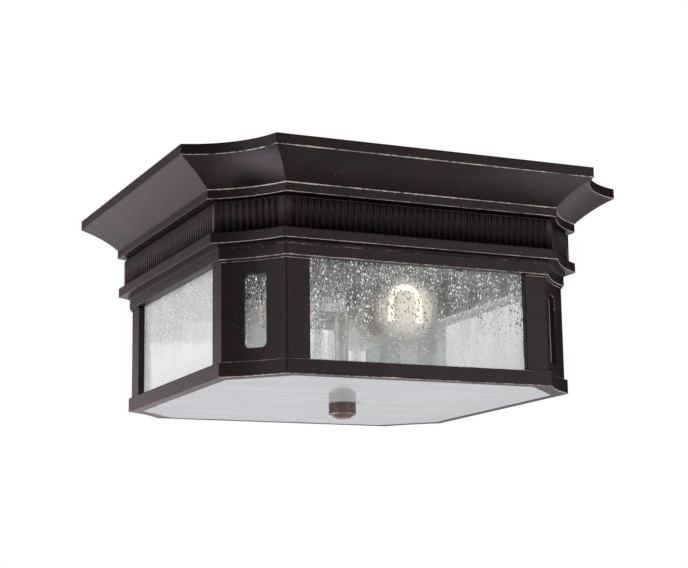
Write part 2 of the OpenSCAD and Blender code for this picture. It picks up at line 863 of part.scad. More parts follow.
module lamp_filament(side) {
    post_r = 0.7;
    stem_at = 32;
    color([1, 0.85, 0.55]) at_lamp(side) {
        rotate([0, 0, 180]) rotate_extrude(angle = 180, $fn = 64)
            translate([glow_r, 0]) circle(r = 1.2, $fn = 24);
        for (k = [-1, 1]) rod([k * glow_r, 0, 0], [k * 2, 0, stem_at + 3], post_r);
        translate([0, 0, stem_at]) cylinder(r1 = 3.2, r2 = 5, h = cap_at + cap_l - 2 - stem_at);
    }
}

module socket_body(side) {
    color(porcelain) at_lamp(side) difference() {
        translate([0, 0, socket_mouth]) cylinder(r = socket_r, h = socket_l);
        translate([0, 0, socket_mouth - eps])
            cylinder(r = socket_bore_r, h = socket_floor - socket_mouth + eps);
        translate([0, 0, socket_floor - eps])
            cylinder(r = screw_hole_r, h = socket_rear - socket_floor + 2 * eps, $fn = 32);
        for (k = [-1, 1])
            translate([k * lead_apart, -socket_r - 1, socket_rear - lead_at]) rotate([-90, 0, 0])
                cylinder(r = lead_r + 0.1, h = 4, $fn = 24);
    }
}

module socket_shell(side) {
    color(brass) at_lamp(side) translate([0, 0, socket_floor - shell_l - 4]) difference() {
        cylinder(r = shell_r + shell_t, h = shell_l);
        translate([0, 0, -eps]) cylinder(r = shell_r, h = shell_l + 2 * eps);
    }
}

module socket_contact(side) {
    color(brass) at_lamp(side) translate([0, 0, socket_floor - contact_t])
        cylinder(r = tip_r, h = contact_t);
}

module socket_bracket(side) {
    foot_y = socket_rear + lamp_axis_y();
    drop = pan_bottom - lamp_z + bracket_w / 2;
    color(steel) rotate([0, 0, 180 * side]) difference() {
        translate([lamp_x - bracket_w / 2, foot_y, 0]) {
            translate([0, 0, pan_bottom - drop]) cube([bracket_w, bracket_t, drop]);
            translate([0, 0, pan_bottom - bracket_t])
                cube([bracket_w, bracket_t + bracket_reach, bracket_t]);
        }
        translate([lamp_x, foot_y - eps, lamp_z]) rotate([-90, 0, 0])
            cylinder(r = screw_hole_r, h = bracket_t + 2 * eps, $fn = 32);
        for (k = [-1, 1])
            translate([lamp_x + k * bracket_w / 4, bracket_screw_y(), pan_bottom - bracket_t - eps])
                cylinder(r = screw_hole_r, h = bracket_t + 2 * eps, $fn = 32);
    }
}

module bracket_screws() {
    color(steel) for (side = [0, 1]) rotate([0, 0, 180 * side]) for (k = [-1, 1])
        translate([lamp_x + k * bracket_w / 4, bracket_screw_y(), pan_bottom - bracket_t])
            screw_up(bracket_t + sheet_t + 3);
}

module socket_screws() {
    bite = socket_rear - socket_floor - 1;
    color(steel) for (side = [0, 1]) at_lamp(side)
        translate([0, 0, socket_rear + bracket_t]) rotate([180, 0, 0]) screw_up(bracket_t + bite);
}

// One lead: up from the lampholder, through the grommet, across and into its connector
module lead(side, shift, connector, colour) {
    turn = side == 0 ? 1 : -1;
    start = [turn * lamp_x + shift * lead_apart, turn * lead_y()];
    aim = connector + turn * [2, 2];
    run = aim - start;
    color(colour) translate([start[0], start[1], 0]) rotate([0, 0, atan2(run[1], run[0])])
        wire([[0, lamp_z + socket_r - 3], [0, lead_run_z], [norm(run), lead_run_z],
            [norm(run), lead_end_z + 2]]);
}

module black_leads() {
    for (side = [0, 1]) lead(side, -1, connector_black, [0.05, 0.05, 0.05]);
}

module white_leads() {
    for (side = [0, 1]) lead(side, 1, connector_white, [0.9, 0.9, 0.9]);
}

module lead_grommets() {
    color([0.1, 0.1, 0.1]) for (side = [0, 1]) rotate([0, 0, 180 * side])
        translate([lamp_x, lead_y(), 0]) difference() {
            union() {
                slab(pan_top + grommet_lip, pan_bottom - grommet_lip) circle(r = grommet_r - 0.1);
                for (z = [pan_top, pan_bottom - grommet_lip])
                    slab(z + grommet_lip, z) circle(r = grommet_r + 1.5);
            }
            slab(pan_top + 2 * grommet_lip, pan_bottom - 2 * grommet_lip) circle(r = grommet_bore);
        }
}

module wire_connectors() {
    for (place = [connector_black, connector_white])
        color([0.75, 0.5, 0.12]) translate([place[0], place[1], lead_end_z]) difference() {
            cylinder(r1 = 6.4, r2 = 4, h = connector_h);
            translate([0, 0, -eps]) cylinder(r = 4.6, h = 2 + eps);
        }
}

cornice();
ceiling_gasket();
frieze_body();
reflector_pan();
corner_post(0);  // corner_post_rear_right
corner_post(1);  // corner_post_rear_left
corner_post(2);  // corner_post_front_left
corner_post(3);  // corner_post_front_right
rim_frame();
pane(0);  // right_pane
pane(1);  // rear_pane
pane(2);  // left_pane
pane(3);  // front_pane
corner_glass(0);  // corner_glass_rear_right
corner_glass(1);  // corner_glass_rear_left
corner_glass(2);  // corner_glass_front_left
corner_glass(3);  // corner_glass_front_right
pane_clips();
clip_screws();
body_screws();
post_screws_top();
post_screws_bottom();
rim_gasket();
bottom_glass();
glass_washer();
finial();
centre_stem();
stem_nuts();
stem_lock_washer();
mounting_strap();
strap_studs();
stud_nuts();
cap_nuts();
ground_screws();
ground_lead();
socket_bracket(0);  // socket_bracket_right
socket_bracket(1);  // socket_bracket_left
bracket_screws();
socket_body(0);  // socket_body_right
socket_body(1);  // socket_body_left
socket_shell(0);  // socket_shell_right
socket_shell(1);  // socket_shell_left
socket_contact(0);  // socket_contact_right
socket_contact(1);  // socket_contact_left
socket_screws();
lamp_globe(0);  // lamp_globe_right
lamp_globe(1);  // lamp_globe_left
lamp_cap(0);  // lamp_cap_right
lamp_cap(1);  // lamp_cap_left
lamp_tip(0);  // lamp_tip_right
lamp_tip(1);  // lamp_tip_left
lamp_filament(0);  // lamp_filament_right
lamp_filament(1);  // lamp_filament_left
black_leads();
white_leads();
lead_grommets();
wire_connectors();
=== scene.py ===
import math

import bmesh
import bpy
import numpy as np
from bpy.props import FloatProperty, FloatVectorProperty, PointerProperty
from mathutils import Matrix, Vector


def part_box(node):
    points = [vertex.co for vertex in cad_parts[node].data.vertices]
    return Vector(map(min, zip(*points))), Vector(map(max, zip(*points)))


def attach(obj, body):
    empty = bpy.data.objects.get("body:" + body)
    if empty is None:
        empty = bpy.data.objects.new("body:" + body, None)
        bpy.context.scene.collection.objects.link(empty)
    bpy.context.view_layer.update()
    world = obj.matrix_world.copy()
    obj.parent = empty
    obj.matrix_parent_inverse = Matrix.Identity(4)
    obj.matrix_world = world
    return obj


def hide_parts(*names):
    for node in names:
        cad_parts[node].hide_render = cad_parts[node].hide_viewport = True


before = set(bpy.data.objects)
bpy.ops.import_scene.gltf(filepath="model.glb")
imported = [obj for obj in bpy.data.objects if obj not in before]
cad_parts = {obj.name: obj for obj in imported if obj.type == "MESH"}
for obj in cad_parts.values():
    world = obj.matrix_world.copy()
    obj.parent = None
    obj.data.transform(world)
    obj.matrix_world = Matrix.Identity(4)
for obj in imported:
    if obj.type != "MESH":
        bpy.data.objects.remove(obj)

bl_info = {
    "name": "Hollow-cornered porch light",
    "version": (1, 0, 0),
    "blender": (4, 5, 0),
    "location": "View3D > Sidebar > Porch light",
    "description": "Dresses a square flush-mount porch light: metalwork, seeded glass and lamps",
    "category": "Object",
}

MM = 0.001
SOFT = 0.45 * MM


def length(name, about, default, low=0.0, high=1.0):
    """One size in metres, shown in Blender's length units."""
    return FloatProperty(name=name, description=about, default=default, min=low, max=high,
                         unit="LENGTH", subtype="DISTANCE", precision=5)


def tint(name, about, default):
    """One colour, as linear red, green and blue."""
    return FloatVectorProperty(name=name, description=about, default=default, size=3,
                               min=0.0, max=4.0, subtype="COLOR")


CROWN_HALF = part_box("cornice")[1].x
LEDGE_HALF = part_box("frieze_body")[1].x
RIM_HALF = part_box("rim_frame")[1].x
GLASS_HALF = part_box("bottom_glass")[1].x
FINIAL_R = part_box("finial")[1].x


class MetalSizes(bpy.types.PropertyGroup):
    """Sizes of the metalwork. Heights are drops below the ceiling."""
    crown_half: length("Cornice half width", "From the middle to the cornice's edge", CROWN_HALF)
    fillet_half: length("Strip half width", "Lower strip of the cornice", 140.8 * MM)
    crown_wall: length("Cornice wall", "Wall of the cornice", 3.6 * MM)
    foam_width: length("Gasket seat", "Width of the step for the ceiling gasket", 5.9 * MM)
    foam_depth: length("Gasket depth", "Depth of that step", 3 * MM)
    flange: length("Flange", "Width of the cornice's inner flange", 20 * MM)
    flange_wall: length("Flange wall", "Thickness of that flange", 3 * MM)
    fascia_drop: length("Fascia", "Foot of the top edge", 7.2 * MM)
    cove_drop: length("Cove", "Foot of the cove", 24.6 * MM)
    cove_dip: length("Cove hollow", "Depth of the cove at its middle", 1.2 * MM)
    fillet_drop: length("Strip", "Foot of the cornice", 30.9 * MM)
    crown_curve: length("Cornice corner radius", "Hollow corner at the outer edge", 68.1 * MM)
    crown_out: length("Cornice corner centre", "Centre outside the face", 18.296 * MM)
    body_curve: length("Body corner radius", "Hollow corner at the posts' face", 123.9 * MM)
    body_out: length("Body corner centre", "Centre outside the face", 69.781 * MM)
    post_half: length("Post half width", "From the middle to the posts' face", 129.8 * MM)
    post_wall: length("Post wall", "Wall of the posts", 4.4 * MM)
    window_half: length("Window half width", "Half the gap between two posts", 80.5 * MM)
    frieze_half: length("Frieze half width", "Face between the flutes", 135.7 * MM)
    quirk_drop: length("Recess", "Foot of the recessed strip", 32.9 * MM)
    quirk_depth: length("Recess depth", "Recessed strip behind the frieze's face", 1.5 * MM)
    frieze_drop: length("Frieze", "Foot of the flutes", 53.7 * MM)
    ledge_half: length("Ledge half width", "Face of the ledge", LEDGE_HALF)
    ledge_drop: length("Ledge", "Foot of the ledge", 60.8 * MM)
    bead_drop: length("Bead", "Foot of the bead", 62.8 * MM)
    bead_out: length("Bead reach", "How far the bead stands out of the band", 1.2 * MM)
    band_half: length("Band half width", "Face of the plain band", 131.8 * MM)
    band_drop: length("Band", "Foot of the band", 70.6 * MM)
    cavity_half: length("Inside half width", "Inner face behind the flutes", 131.2 * MM)
    flute_pitch: length("Flute spacing", "From one flute to the next", 4.7 * MM)
    flute_width: length("Flute width", "Width of a flute", 3.6 * MM)
    flute_depth: length("Flute depth", "Depth of a flute", 1.3 * MM)
    flute_margin: length("Plain end", "Plain face beside the flutes", 4 * MM)
    slot_half: length("Slot half width", "Half the width of a corner slot", 8 * MM)
    slot_top: length("Slot top", "Top of the corner slots", 80.4 * MM)
    slot_foot: length("Slot foot", "Foot of the corner slots", 129.4 * MM)
    slot_round: length("Slot corner", "Corner radius of the slots", 3.5 * MM)
    cap_drop: length("Post cap", "Foot of the thin strip on a post", 72.2 * MM)
    cap_out: length("Post cap reach", "How far that strip stands out", 0.9 * MM)
    rim_drop: length("Rim top", "Top of the bottom rim", 138 * MM)
    rim_half: length("Rim half width", "Face of the bottom rim", RIM_HALF)
    bottom_drop: length("Rim foot", "Underside of the rim", 148.2 * MM)
    shelf_drop: length("Shelf", "Underside of the rim's inner shelf", 143.4 * MM)
    shelf_in: length("Shelf width", "How far the shelf reaches in from the seat", 7.2 * MM)
    shelf_cut: length("Shelf corner cut", "x + y along the shelf's cut corners", 200 * MM)
    seat_half: length("Seat half width", "Recess for the bottom glass", GLASS_HALF + 0.8 * MM)
    seat_cut: length("Seat corner cut", "x + y along the seat's cut corners", 213.6 * MM)
    soft: length("Edge rounding", "How far an edge's rounding reaches", SOFT)
    finial_r: length("Finial radius", "Radius of the finial", FINIAL_R)


class LampSizes(bpy.types.PropertyGroup):
    """Sizes of the lamps. Places along a lamp are counted from its globe's centre."""
    side: length("Lamp offset", "Lamp axis to the stem's axis", 42 * MM)
    ahead: length("Globe offset", "Right globe before the stem, left one behind it", 22 * MM)
    drop: length("Lamp drop", "Lamp axis below the ceiling", 79 * MM)
    globe_r: length("Globe radius", "Radius of the globe", 30 * MM)
    globe_lean: FloatProperty(name="Globe end", subtype="ANGLE", default=math.radians(64),
                              description="Angle from the lamp's axis where the ball ends")
    glass_wall: length("Glass wall", "Thickness of the globe's glass", 1 * MM)
    neck_r: length("Neck radius", "Radius of the globe's neck", 13.4 * MM)
    cap_r: length("Cap radius", "Crests of the screw cap", 13.1 * MM)
    thread: length("Thread pitch", "From one crest to the next", 3.629 * MM)
    glow_r: length("Arch radius", "Half the width of the glowing arch", 11.5 * MM)
    glow_up: length("Arch height", "Middle of the arch's curve over the lamp's axis", 4.5 * MM)
    glow_leg: length("Arch legs", "Straight legs of the glowing arch", 15 * MM)
    glow_thick: length("Arch thickness", "Radius of the glowing arch's tube", 2.2 * MM)


class Colours(bpy.types.PropertyGroup):
    """Colours of the finishes, in linear light."""
    bronze: tint("Bronze", "Ground of the dark bronze finish", (0.0150, 0.0100, 0.0106))
    russet: tint("Russet", "Reddish patches in the bronze", (0.038, 0.0125, 0.0115))
    # Pale edges: worn metal, and at the same time painted highlight lines.
    worn_and_highlight: tint("Worn edge", "Rubbed edges", (0.70, 0.61, 0.57))
    inside: tint("Inside", "Pale primer inside the castings", (0.74, 0.74, 0.71))
    # Glass and Seeds also colour the side panes' glow, which is painted light. The seeds'
    # brightness is a painted glint.
    glass: tint("Glass", "Haze of the side panes", (0.78, 0.82, 0.81))
    seed: tint("Seeds", "Bubbles in the side panes", (0.88, 0.92, 0.90))
    # The bottom pane's haze also glows faintly in this colour: painted light.
    bottom: tint("Bottom glass", "Haze of the bottom pane", (0.80, 0.90, 0.91))
    enamel: tint("Enamel", "Reflector pan", (0.40, 0.40, 0.385))
    zinc: tint("Zinc", "Plated steel", (0.50, 0.50, 0.48))
    brass: tint("Brass", "Screw shells and caps", (0.62, 0.45, 0.18))
    glow: tint("Glow", "Light of the lamps", (1.0, 0.90, 0.72))


class ViewSizes(bpy.types.PropertyGroup):
    """Camera and floor."""
    turn: FloatProperty(name="Turn", description="Camera round from the front, left if negative",
                        default=math.radians(-24.46), subtype="ANGLE")
    rise: FloatProperty(name="Rise", description="Camera above the light, or below if negative",
                        default=math.radians(-11.06), subtype="ANGLE")
    roll: FloatProperty(name="Roll", description="Camera roll", subtype="ANGLE",
                        default=math.radians(-0.82))
    distance: length("Distance", "Camera to its target", 1.2426, 0.1, 10)
    target: FloatVectorProperty(name="Target", description="Where the camera looks", size=3,
                                default=(0.0018, -0.0021, -0.0597), subtype="TRANSLATION")
    focal: FloatProperty(name="Focal length", description="In mm on a 36 mm sensor",
                         default=87.9, min=10, max=300)
    floor_drop: length("Floor", "Floor below the ceiling plane", 3.0, 0.2, 5)


def colours():
    """The colours as they are set in the scene."""
    return bpy.context.scene.porch_colours


# Surfaces. A soft corner has seven points: a guard point, the curve's start, three points on
# it, its end and another guard point. EDGE_LEVELS says how strongly each is marked: wear that
# is also painted as a highlight line on a corner that stands out, painted shade in an inner
# corner. SOFT is how far a corner in plan is rounded, GUARD is from there to its guard point,
# AROUND are the fractions at which a hollow corner is sampled, and POLE is the radius of a
# turned shape's closed end.

ROUNDING = np.array([0.25, 0.5, 0.75])
EDGE_LEVELS = np.array([0.0, 0.45, 0.85, 1.0, 0.85, 0.45, 0.0])
GUARD = 1.1 * MM
AROUND = np.linspace(0, 1, 20)[1:-1]
POLE = 0.02 * MM


def bent(a, p, b, t=ROUNDING[:, None]):
    """The curve (1-t)^2 a + 2t(1-t) p + t^2 b, from a to b and drawn towards p."""
    return (1 - t) ** 2 * a + 2 * t * (1 - t) * p + t ** 2 * b


def softened(points, reach, closed=True, guard=0.8 * MM, rub=None):
    """A polygon with soft corners. A corner p that has a reach r becomes a bent() curve
    whose ends lie r before and after p, with a guard point beyond each end. A corner with
    r = 0 stays one point. Returns the points, and a mark for each: up to 1 on a corner that
    stands out, for wear that the bronze also paints as a highlight line, down to -1 in an inner
    corner, for painted shade. 'rub' gives some corners, by their number, another level, which in
    an inner corner makes a painted highlight line."""
    p = np.asarray(points, float)
    r = np.asarray(reach, float)
    before = np.roll(p, 1, 0) - p
    after = np.roll(p, -1, 0) - p
    lb = np.linalg.norm(before, axis=1)
    la = np.linalg.norm(after, axis=1)
    before = before / lb[:, None]
    after = after / la[:, None]
    ra = np.minimum(r, 0.32 * np.minimum(lb, la))
    gb = np.minimum(ra + guard, 0.48 * lb)
    ga = np.minimum(ra + guard, 0.48 * la)
    a = p + before * ra[:, None]
    b = p + after * ra[:, None]
    curve = bent(a[:, None], p[:, None], b[:, None])
    rows = np.concatenate([(p + before * gb[:, None])[:, None], a[:, None], curve, b[:, None],
                           (p + after * ga[:, None])[:, None]], 1)
    turn = before[:, 1] * after[:, 0] - before[:, 0] * after[:, 1]
    arm = p - p.mean(0)
    following = np.roll(arm, -1, 0)
    winding = np.sign(np.sum(arm[:, 0] * following[:, 1] - arm[:, 1] * following[:, 0]))
    most = np.sign(turn) * winding
    for corner, value in (rub or {}).items():
        most[corner] = value
    level = most[:, None] * EDGE_LEVELS[None, :]
    keep = np.ones(rows.shape[:2], bool)
    sharp = r == 0
    if not closed:
        sharp[[0, -1]] = True
    keep[sharp] = False
    keep[sharp, 3] = True
    rows[sharp, 3] = p[sharp]
    level[sharp] = 0
    return rows[keep], level[keep]


def corner_of(half, centre, radius):
    """Where a flat face of this half width meets its hollow corner."""
    return centre - np.sqrt(radius ** 2 - (centre - half) ** 2)


def turned_four(quarter):
    """A quarter's points, turned about the middle three times."""
    x, y = quarter[..., 0], quarter[..., 1]
    return np.concatenate([np.stack(q, -1) for q in ((x, y), (-y, x), (-x, -y), (y, -x))], 1)


def plan(half, centre, radius, along=(0.0,), around=AROUND, cut=0.0, cut_around=0.0):
    """Round the square at each half width in an array. One quarter is the right face from
    its front to its rear corner, at the fractions 'along' from -1 to 1, and then the hollow
    corner, an arc about (centre, centre), at the fractions 'around' from 0 to 1. Each corner
    between face and arc is a bent() curve that reaches SOFT to either side. 'cut' and
    'cut_around' are depths taken off at those fractions, for flutes. The quarter is turned
    three times. Returns points (levels, samples, 2) and each sample's mark: wear, which is also
    painted as a highlight line."""
    half = np.atleast_1d(np.asarray(half, float))[:, None]
    radius = np.atleast_1d(np.asarray(radius, float))[:, None]
    along, around = np.asarray(along, float), np.asarray(around, float)
    c = corner_of(half, centre, radius)
    first = np.arctan2(c - centre, half - centre)
    last = np.arctan2(half - centre, c - centre)
    span = radius * np.abs(last - first)
    near, far = SOFT, SOFT + GUARD

    def face(y, depth=0.0):
        """Points of the right face, this deep in it."""
        return np.stack([half - depth + 0 * y, y], -1)

    def arc(u, depth=0.0):
        """Points of the hollow corner, this deep in it."""
        angle = first + (last - first) * u
        return centre + np.stack([(radius + depth) * np.cos(angle),
                                  (radius + depth) * np.sin(angle)], -1)

    a1, b1 = face(c - near), arc(near / span)
    a2, b2 = arc(1 - near / span), face(c - near)[..., ::-1]
    inside = far / span + (1 - 2 * far / span) * around[None, :]
    quarter = np.concatenate([face(near - c), face(far - c),
                              face(along[None, :] * (c - far), cut), face(c - far),
                              a1, bent(a1, face(c), b1), b1, arc(far / span),
                              arc(inside, cut_around), arc(1 - far / span),
                              a2, bent(a2, face(c)[..., ::-1], b2)], 1)
    e = EDGE_LEVELS
    worn_and_highlight = np.concatenate([e[5:], np.zeros(len(along)), e, np.zeros(len(around)), e[:5]])
    return turned_four(quarter), np.tile(worn_and_highlight, 4)


def octagon(half, cut, along=(0.0,), around=AROUND):
    """A square with its corners cut off along |x| + |y| = cut, sampled in the same order and
    number as plan(), so that a surface can run straight from one to the other."""
    half = np.atleast_1d(np.asarray(half, float))[:, None]
    cut = np.atleast_1d(np.asarray(cut, float))[:, None]
    along, around = np.asarray(along, float)[None, :], np.asarray(around, float)[None, :]
    e = cut - half
    near, far = SOFT, SOFT + GUARD
    span = np.sqrt(2) * (half - e)
    y = np.concatenate([near - e, far - e, along * (e - far), e - far, e - near], 1)
    none = np.zeros((1, 3)) * e
    u = np.concatenate([none, near / span, far / span,
                        far / span + (1 - 2 * far / span) * around, 1 - far / span,
                        1 - near / span, none + 1], 1)
    face = np.stack([half + 0 * y, y], -1)
    slope = np.stack([half + (e - half) * u, e + (half - e) * u], -1)
    return turned_four(np.concatenate([face, slope], 1))


def standing(xy, z):
    """Plan points at each level's height."""
    return np.concatenate([xy, np.broadcast_to(np.asarray(z)[:, None, None],
                                               xy.shape[:2] + (1,))], -1)


def quads_of(rows, columns, loop_rows, loop_columns):
    """Quads of a grid of points, rows by columns, closed on itself where it says."""
    i = np.arange(rows if loop_rows else rows - 1)
    j = np.arange(columns if loop_columns else columns - 1)
    i, j = np.meshgrid(i, j, indexing="ij")
    k, m = (i + 1) % rows, (j + 1) % columns
    return np.stack([i * columns + j, i * columns + m, k * columns + m, k * columns + j],
                    -1).reshape(-1, 4)


def grid(points, edge=0.0, loop_rows=True, loop_columns=True):
    """One patch for make_piece(): points (rows, columns, 3), their marks of wear and painted
    shade, and their quads.
    """
    rows, columns = points.shape[:2]
    return (points.reshape(-1, 3), np.broadcast_to(edge, (rows, columns)).reshape(-1),
            quads_of(rows, columns, loop_rows, loop_columns))


def capped(points, edge=0.0):
    """A grid that isn't closed along its rows, with its first and last rows drawn together
    to their middles, which closes both ends."""
    first = np.broadcast_to(points[0].mean(0), points[0].shape)[None]
    last = np.broadcast_to(points[-1].mean(0), points[0].shape)[None]
    edge = np.broadcast_to(edge, points.shape[:2])
    return grid(np.concatenate([first, points, last]),
                np.concatenate([edge[:1], edge, edge[-1:]]), False)


def make_piece(name, patches, material, body, replaced=()):
    """Joins patches into one closed mesh, welds their seams and turns the faces outwards."""
    start = 0
    vertices, edges, faces = [], [], []
    for points, edge, quads in patches:
        vertices.append(points)
        edges.append(edge)
        faces.append(quads + start)
        start += len(points)
    mesh = bpy.data.meshes.new(name)
    mesh.from_pydata(np.concatenate(vertices), [], np.concatenate(faces))
    # Each point's mark: wear and painted highlight above 0, painted shade below 0.
    layer = mesh.attributes.new("wear_and_shading", "FLOAT", "POINT")
    layer.data.foreach_set("value", np.concatenate(edges).astype(np.float32))
    mesh.update()
    shape = bmesh.new()
    shape.from_mesh(mesh)
    bmesh.ops.remove_doubles(shape, verts=shape.verts, dist=2e-6)
    bmesh.ops.recalc_face_normals(shape, faces=shape.faces)
    shape.to_mesh(mesh)
    shape.free()
    mesh.polygons.foreach_set("use_smooth", np.ones(len(mesh.polygons), bool))
    if not len(mesh.polygons):
        raise RuntimeError(name + " has no faces")
    piece = bpy.data.objects.new(name, mesh)
    bpy.context.scene.collection.objects.link(piece)
    mesh.materials.append(material)
    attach(piece, body)
    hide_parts(*replaced)


def turned(profile, level, place=(0, 0, 0), sides=96, axis="z", thread=None):
    """A closed profile of (radius, height) turned about an axis through a place: points are
    (r cos a, r sin a, h), laid along the axis named. 'thread' gives a depth for each angle
    and height. Returns a patch."""
    angle = np.linspace(0, 2 * np.pi, sides, endpoint=False)[None, :]
    r, h = profile[:, 0][:, None], profile[:, 1][:, None] + 0 * angle
    r = r + (0 if thread is None else thread(angle, h, r))
    x, y = r * np.cos(angle), r * np.sin(angle)
    shape = {"z": (x, y, h), "y": (x, h, -y), "-y": (-x, -h, -y)}[axis]
    return grid(np.stack(shape, -1) + np.asarray(place), level[:, None])


def block(size):
    """A block about the middle: a rounded rectangle drawn up, a little smaller at its ends."""
    soft = 0.3 * MM
    x, y, z = size / 2
    outline, _ = softened([(-x, -y), (x, -y), (x, y), (-x, y)], [soft] * 4, guard=0.4 * MM)
    inner = outline * (1 - soft / np.array([x, y]))
    return standing(np.stack([inner, outline, outline, inner]), [-z, soft - z, z - soft, z])


def at_diagonal(points, quarter, out, side, up):
    """Moves points from the middle out along a corner's diagonal."""
    angle = np.pi / 4 + quarter * np.pi / 2
    p = points + np.array([out, side, up])
    x = p[..., 0] * np.cos(angle) - p[..., 1] * np.sin(angle)
    y = p[..., 0] * np.sin(angle) + p[..., 1] * np.cos(angle)
    return np.stack([x, y, p[..., 2]], -1)


# Node materials


class Link:
    """A socket's output that sums and products can be written with."""

    def __init__(self, finish, socket):
        self.finish = finish
        self.socket = socket

    def sum_of(self, kind, first, second, clamp=False):
        """A Math node on two values."""
        return self.finish.node("ShaderNodeMath", {0: first, 1: second}, operation=kind,
                                use_clamp=clamp)

    def __add__(self, other):
        return self.sum_of("ADD", self, other)

    def __radd__(self, other):
        return self.sum_of("ADD", other, self)

    def __sub__(self, other):
        return self.sum_of("SUBTRACT", self, other)

    def __rsub__(self, other):
        return self.sum_of("SUBTRACT", other, self)

    def __mul__(self, other):
        return self.sum_of("MULTIPLY", self, other)

    def __rmul__(self, other):
        return self.sum_of("MULTIPLY", other, self)

    def __rtruediv__(self, other):
        return self.sum_of("DIVIDE", other, self)

    def between(self, low, high):
        """0 below low, 1 above high, smooth between them."""
        return self.finish.node("ShaderNodeMapRange", {"Value": self, "From Min": low,
                                                       "From Max": high},
                                interpolation_type="SMOOTHSTEP", clamp=True)

    def bounded(self):
        """Kept from 0 to 1."""
        return self.sum_of("ADD", self, 0.0, clamp=True)

    def largest(self, other):
        """The larger of two values."""
        return self.sum_of("MAXIMUM", self, other)


class Finish:
    """A node tree and the nodes in it."""

    def __init__(self, owner):
        owner.use_nodes = True
        self.owner = owner
        self.tree = owner.node_tree
        self.tree.nodes.clear()

    def node(self, kind, values=None, out=0, **settings):
        """Any node, with its settings and what its sockets take."""
        node = self.tree.nodes.new(kind)
        for key, value in settings.items():
            setattr(node, key, value)
        for key, value in (values or {}).items():
            socket = node.inputs[key]
            if isinstance(value, Link):
                self.tree.links.new(value.socket, socket)
            elif socket.type == "RGBA":
                socket.default_value = (*tuple(value)[:3], 1.0)
            else:
                socket.default_value = value
        return Link(self, node.outputs[out]) if node.outputs else None

    def place(self, scale=(1, 1, 1), shift=(0, 0, 0)):
        """Object coordinates, stretched and moved."""
        where = self.node("ShaderNodeTexCoord", out="Object")
        return self.node("ShaderNodeMapping", {"Vector": where, "Scale": scale,
                                               "Location": shift})

    def noise(self, scale, detail=2.0, rough=0.5, stretch=(1, 1, 1)):
        """Cloudy noise, around 0.5."""
        return self.node("ShaderNodeTexNoise", {"Vector": self.place(stretch), "Scale": scale,
                                                "Detail": detail, "Roughness": rough},
                         out="Fac")

    def cells(self, scale, out="Distance", stretch=(1, 1, 1), shift=(0, 0, 0)):
        """Distance to the nearest of many scattered points, or that point's own colour."""
        return self.node("ShaderNodeTexVoronoi", {"Vector": self.place(stretch, shift),
                                                  "Scale": scale}, out=out)

    def blend(self, first, second, share):
        """One colour laid over another."""
        return self.node("ShaderNodeMix", {0: share, 6: first, 7: second}, out=2,
                         data_type="RGBA")

    def mixed(self, share, first, second):
        """One surface laid over another."""
        return self.node("ShaderNodeMixShader", {0: share, 1: first, 2: second})

    def wear_and_shading(self):
        """The marks kept on the mesh's points: wear, also painted as highlight lines, above 0,
        painted shade below 0, and BARE inside.
        """
        return self.node("ShaderNodeAttribute", out="Fac", attribute_name="wear_and_shading")

    def channel(self, vector, which):
        """X, Y or Z of a vector or colour."""
        return self.node("ShaderNodeSeparateXYZ", {0: vector}, out=which)

    def bump(self, height, strength, distance):
        """A relief of this height, its distance in metres."""
        return self.node("ShaderNodeBump", {"Height": height, "Strength": strength,
                                            "Distance": distance})

    def done(self, **sockets):
        """Closes the tree with a surface of these values."""
        values = {key.replace("_", " "): value for key, value in sockets.items()}
        surface = self.node("ShaderNodeBsdfPrincipled", values)
        self.node("ShaderNodeOutputMaterial", {"Surface": surface})
        return self.owner


def bronze(f):
    """Dark bronze paint: brown-black ground, russet patches, pale specks, pale rubbed edges that
    are also painted highlight lines, painted shade in inner corners, and a pale primer inside.
    """
    c = colours()
    broad = f.noise(34, 3, 0.6)
    fine = f.noise(330, 3, 0.6)
    grit = f.noise(1500, 2, 0.5)
    turn = f.channel(f.node("ShaderNodeTexCoord", out="Normal"), "Y")
    turn = f.node("ShaderNodeMath", {0: turn}, operation="ABSOLUTE")
    # Edges on faces turned to the front or back take up to 1.2 times the marks, and those turned
    # to the sides 0.45 times: more painted highlight where the lights catch the front edges.
    wear_and_shading = f.wear_and_shading() * (0.45 + turn.between(0.05, 0.35) * 0.75)
    ground = f.blend(c.bronze, c.russet, broad.between(0.48, 0.72))
    ground = f.blend(ground, [v * 0.62 for v in c.bronze], fine.between(0.55, 0.75) * 0.6)
    # Pale edge colour: wear on rubbed edges, and at the same time a painted highlight line for
    # the light caught by their rounding.
    rubbing_and_shading = (wear_and_shading * 0.85 + (fine - 0.5) * 1.3 + (broad - 0.5) * 1.3 - 0.36).between(0.1, 0.62)
    rubbing_and_shading = rubbing_and_shading * wear_and_shading.between(0.15, 0.6)
    dot = 1 - f.cells(230).between(0.035, 0.075)
    few = f.noise(90, 1).between(0.53, 0.60)
    rubbing_and_shading = rubbing_and_shading.largest(dot * few * 0.55)
    colour = f.blend(ground, c.worn_and_highlight, rubbing_and_shading)
    # Painted shade: marks below 0, in inner corners, flute hollows and along the posts' arrises,
    # darken the colour nearly to black.
    inner = -1 * f.wear_and_shading()
    colour = f.blend(colour, (0.004, 0.0035, 0.0035), inner.between(0.1, 0.9) * 0.8)
    bare = inner.between(1.2, 1.6)
    colour = f.blend(colour, f.blend(c.inside, [v * 0.8 for v in c.inside], broad), bare)
    rough = 0.30 + fine * 0.14 + grit * 0.05 - rubbing_and_shading * 0.05 + bare * 0.2
    relief = f.bump(fine * 0.7 + grit * 0.3 - dot * few * 0.5, 0.35, 0.00018)
    return f.done(Base_Color=colour, Metallic=rubbing_and_shading * 0.7, Roughness=rough, Normal=relief,
                  Specular_IOR_Level=0.30, Specular_Tint=(1.0, 0.82, 0.90, 1.0))


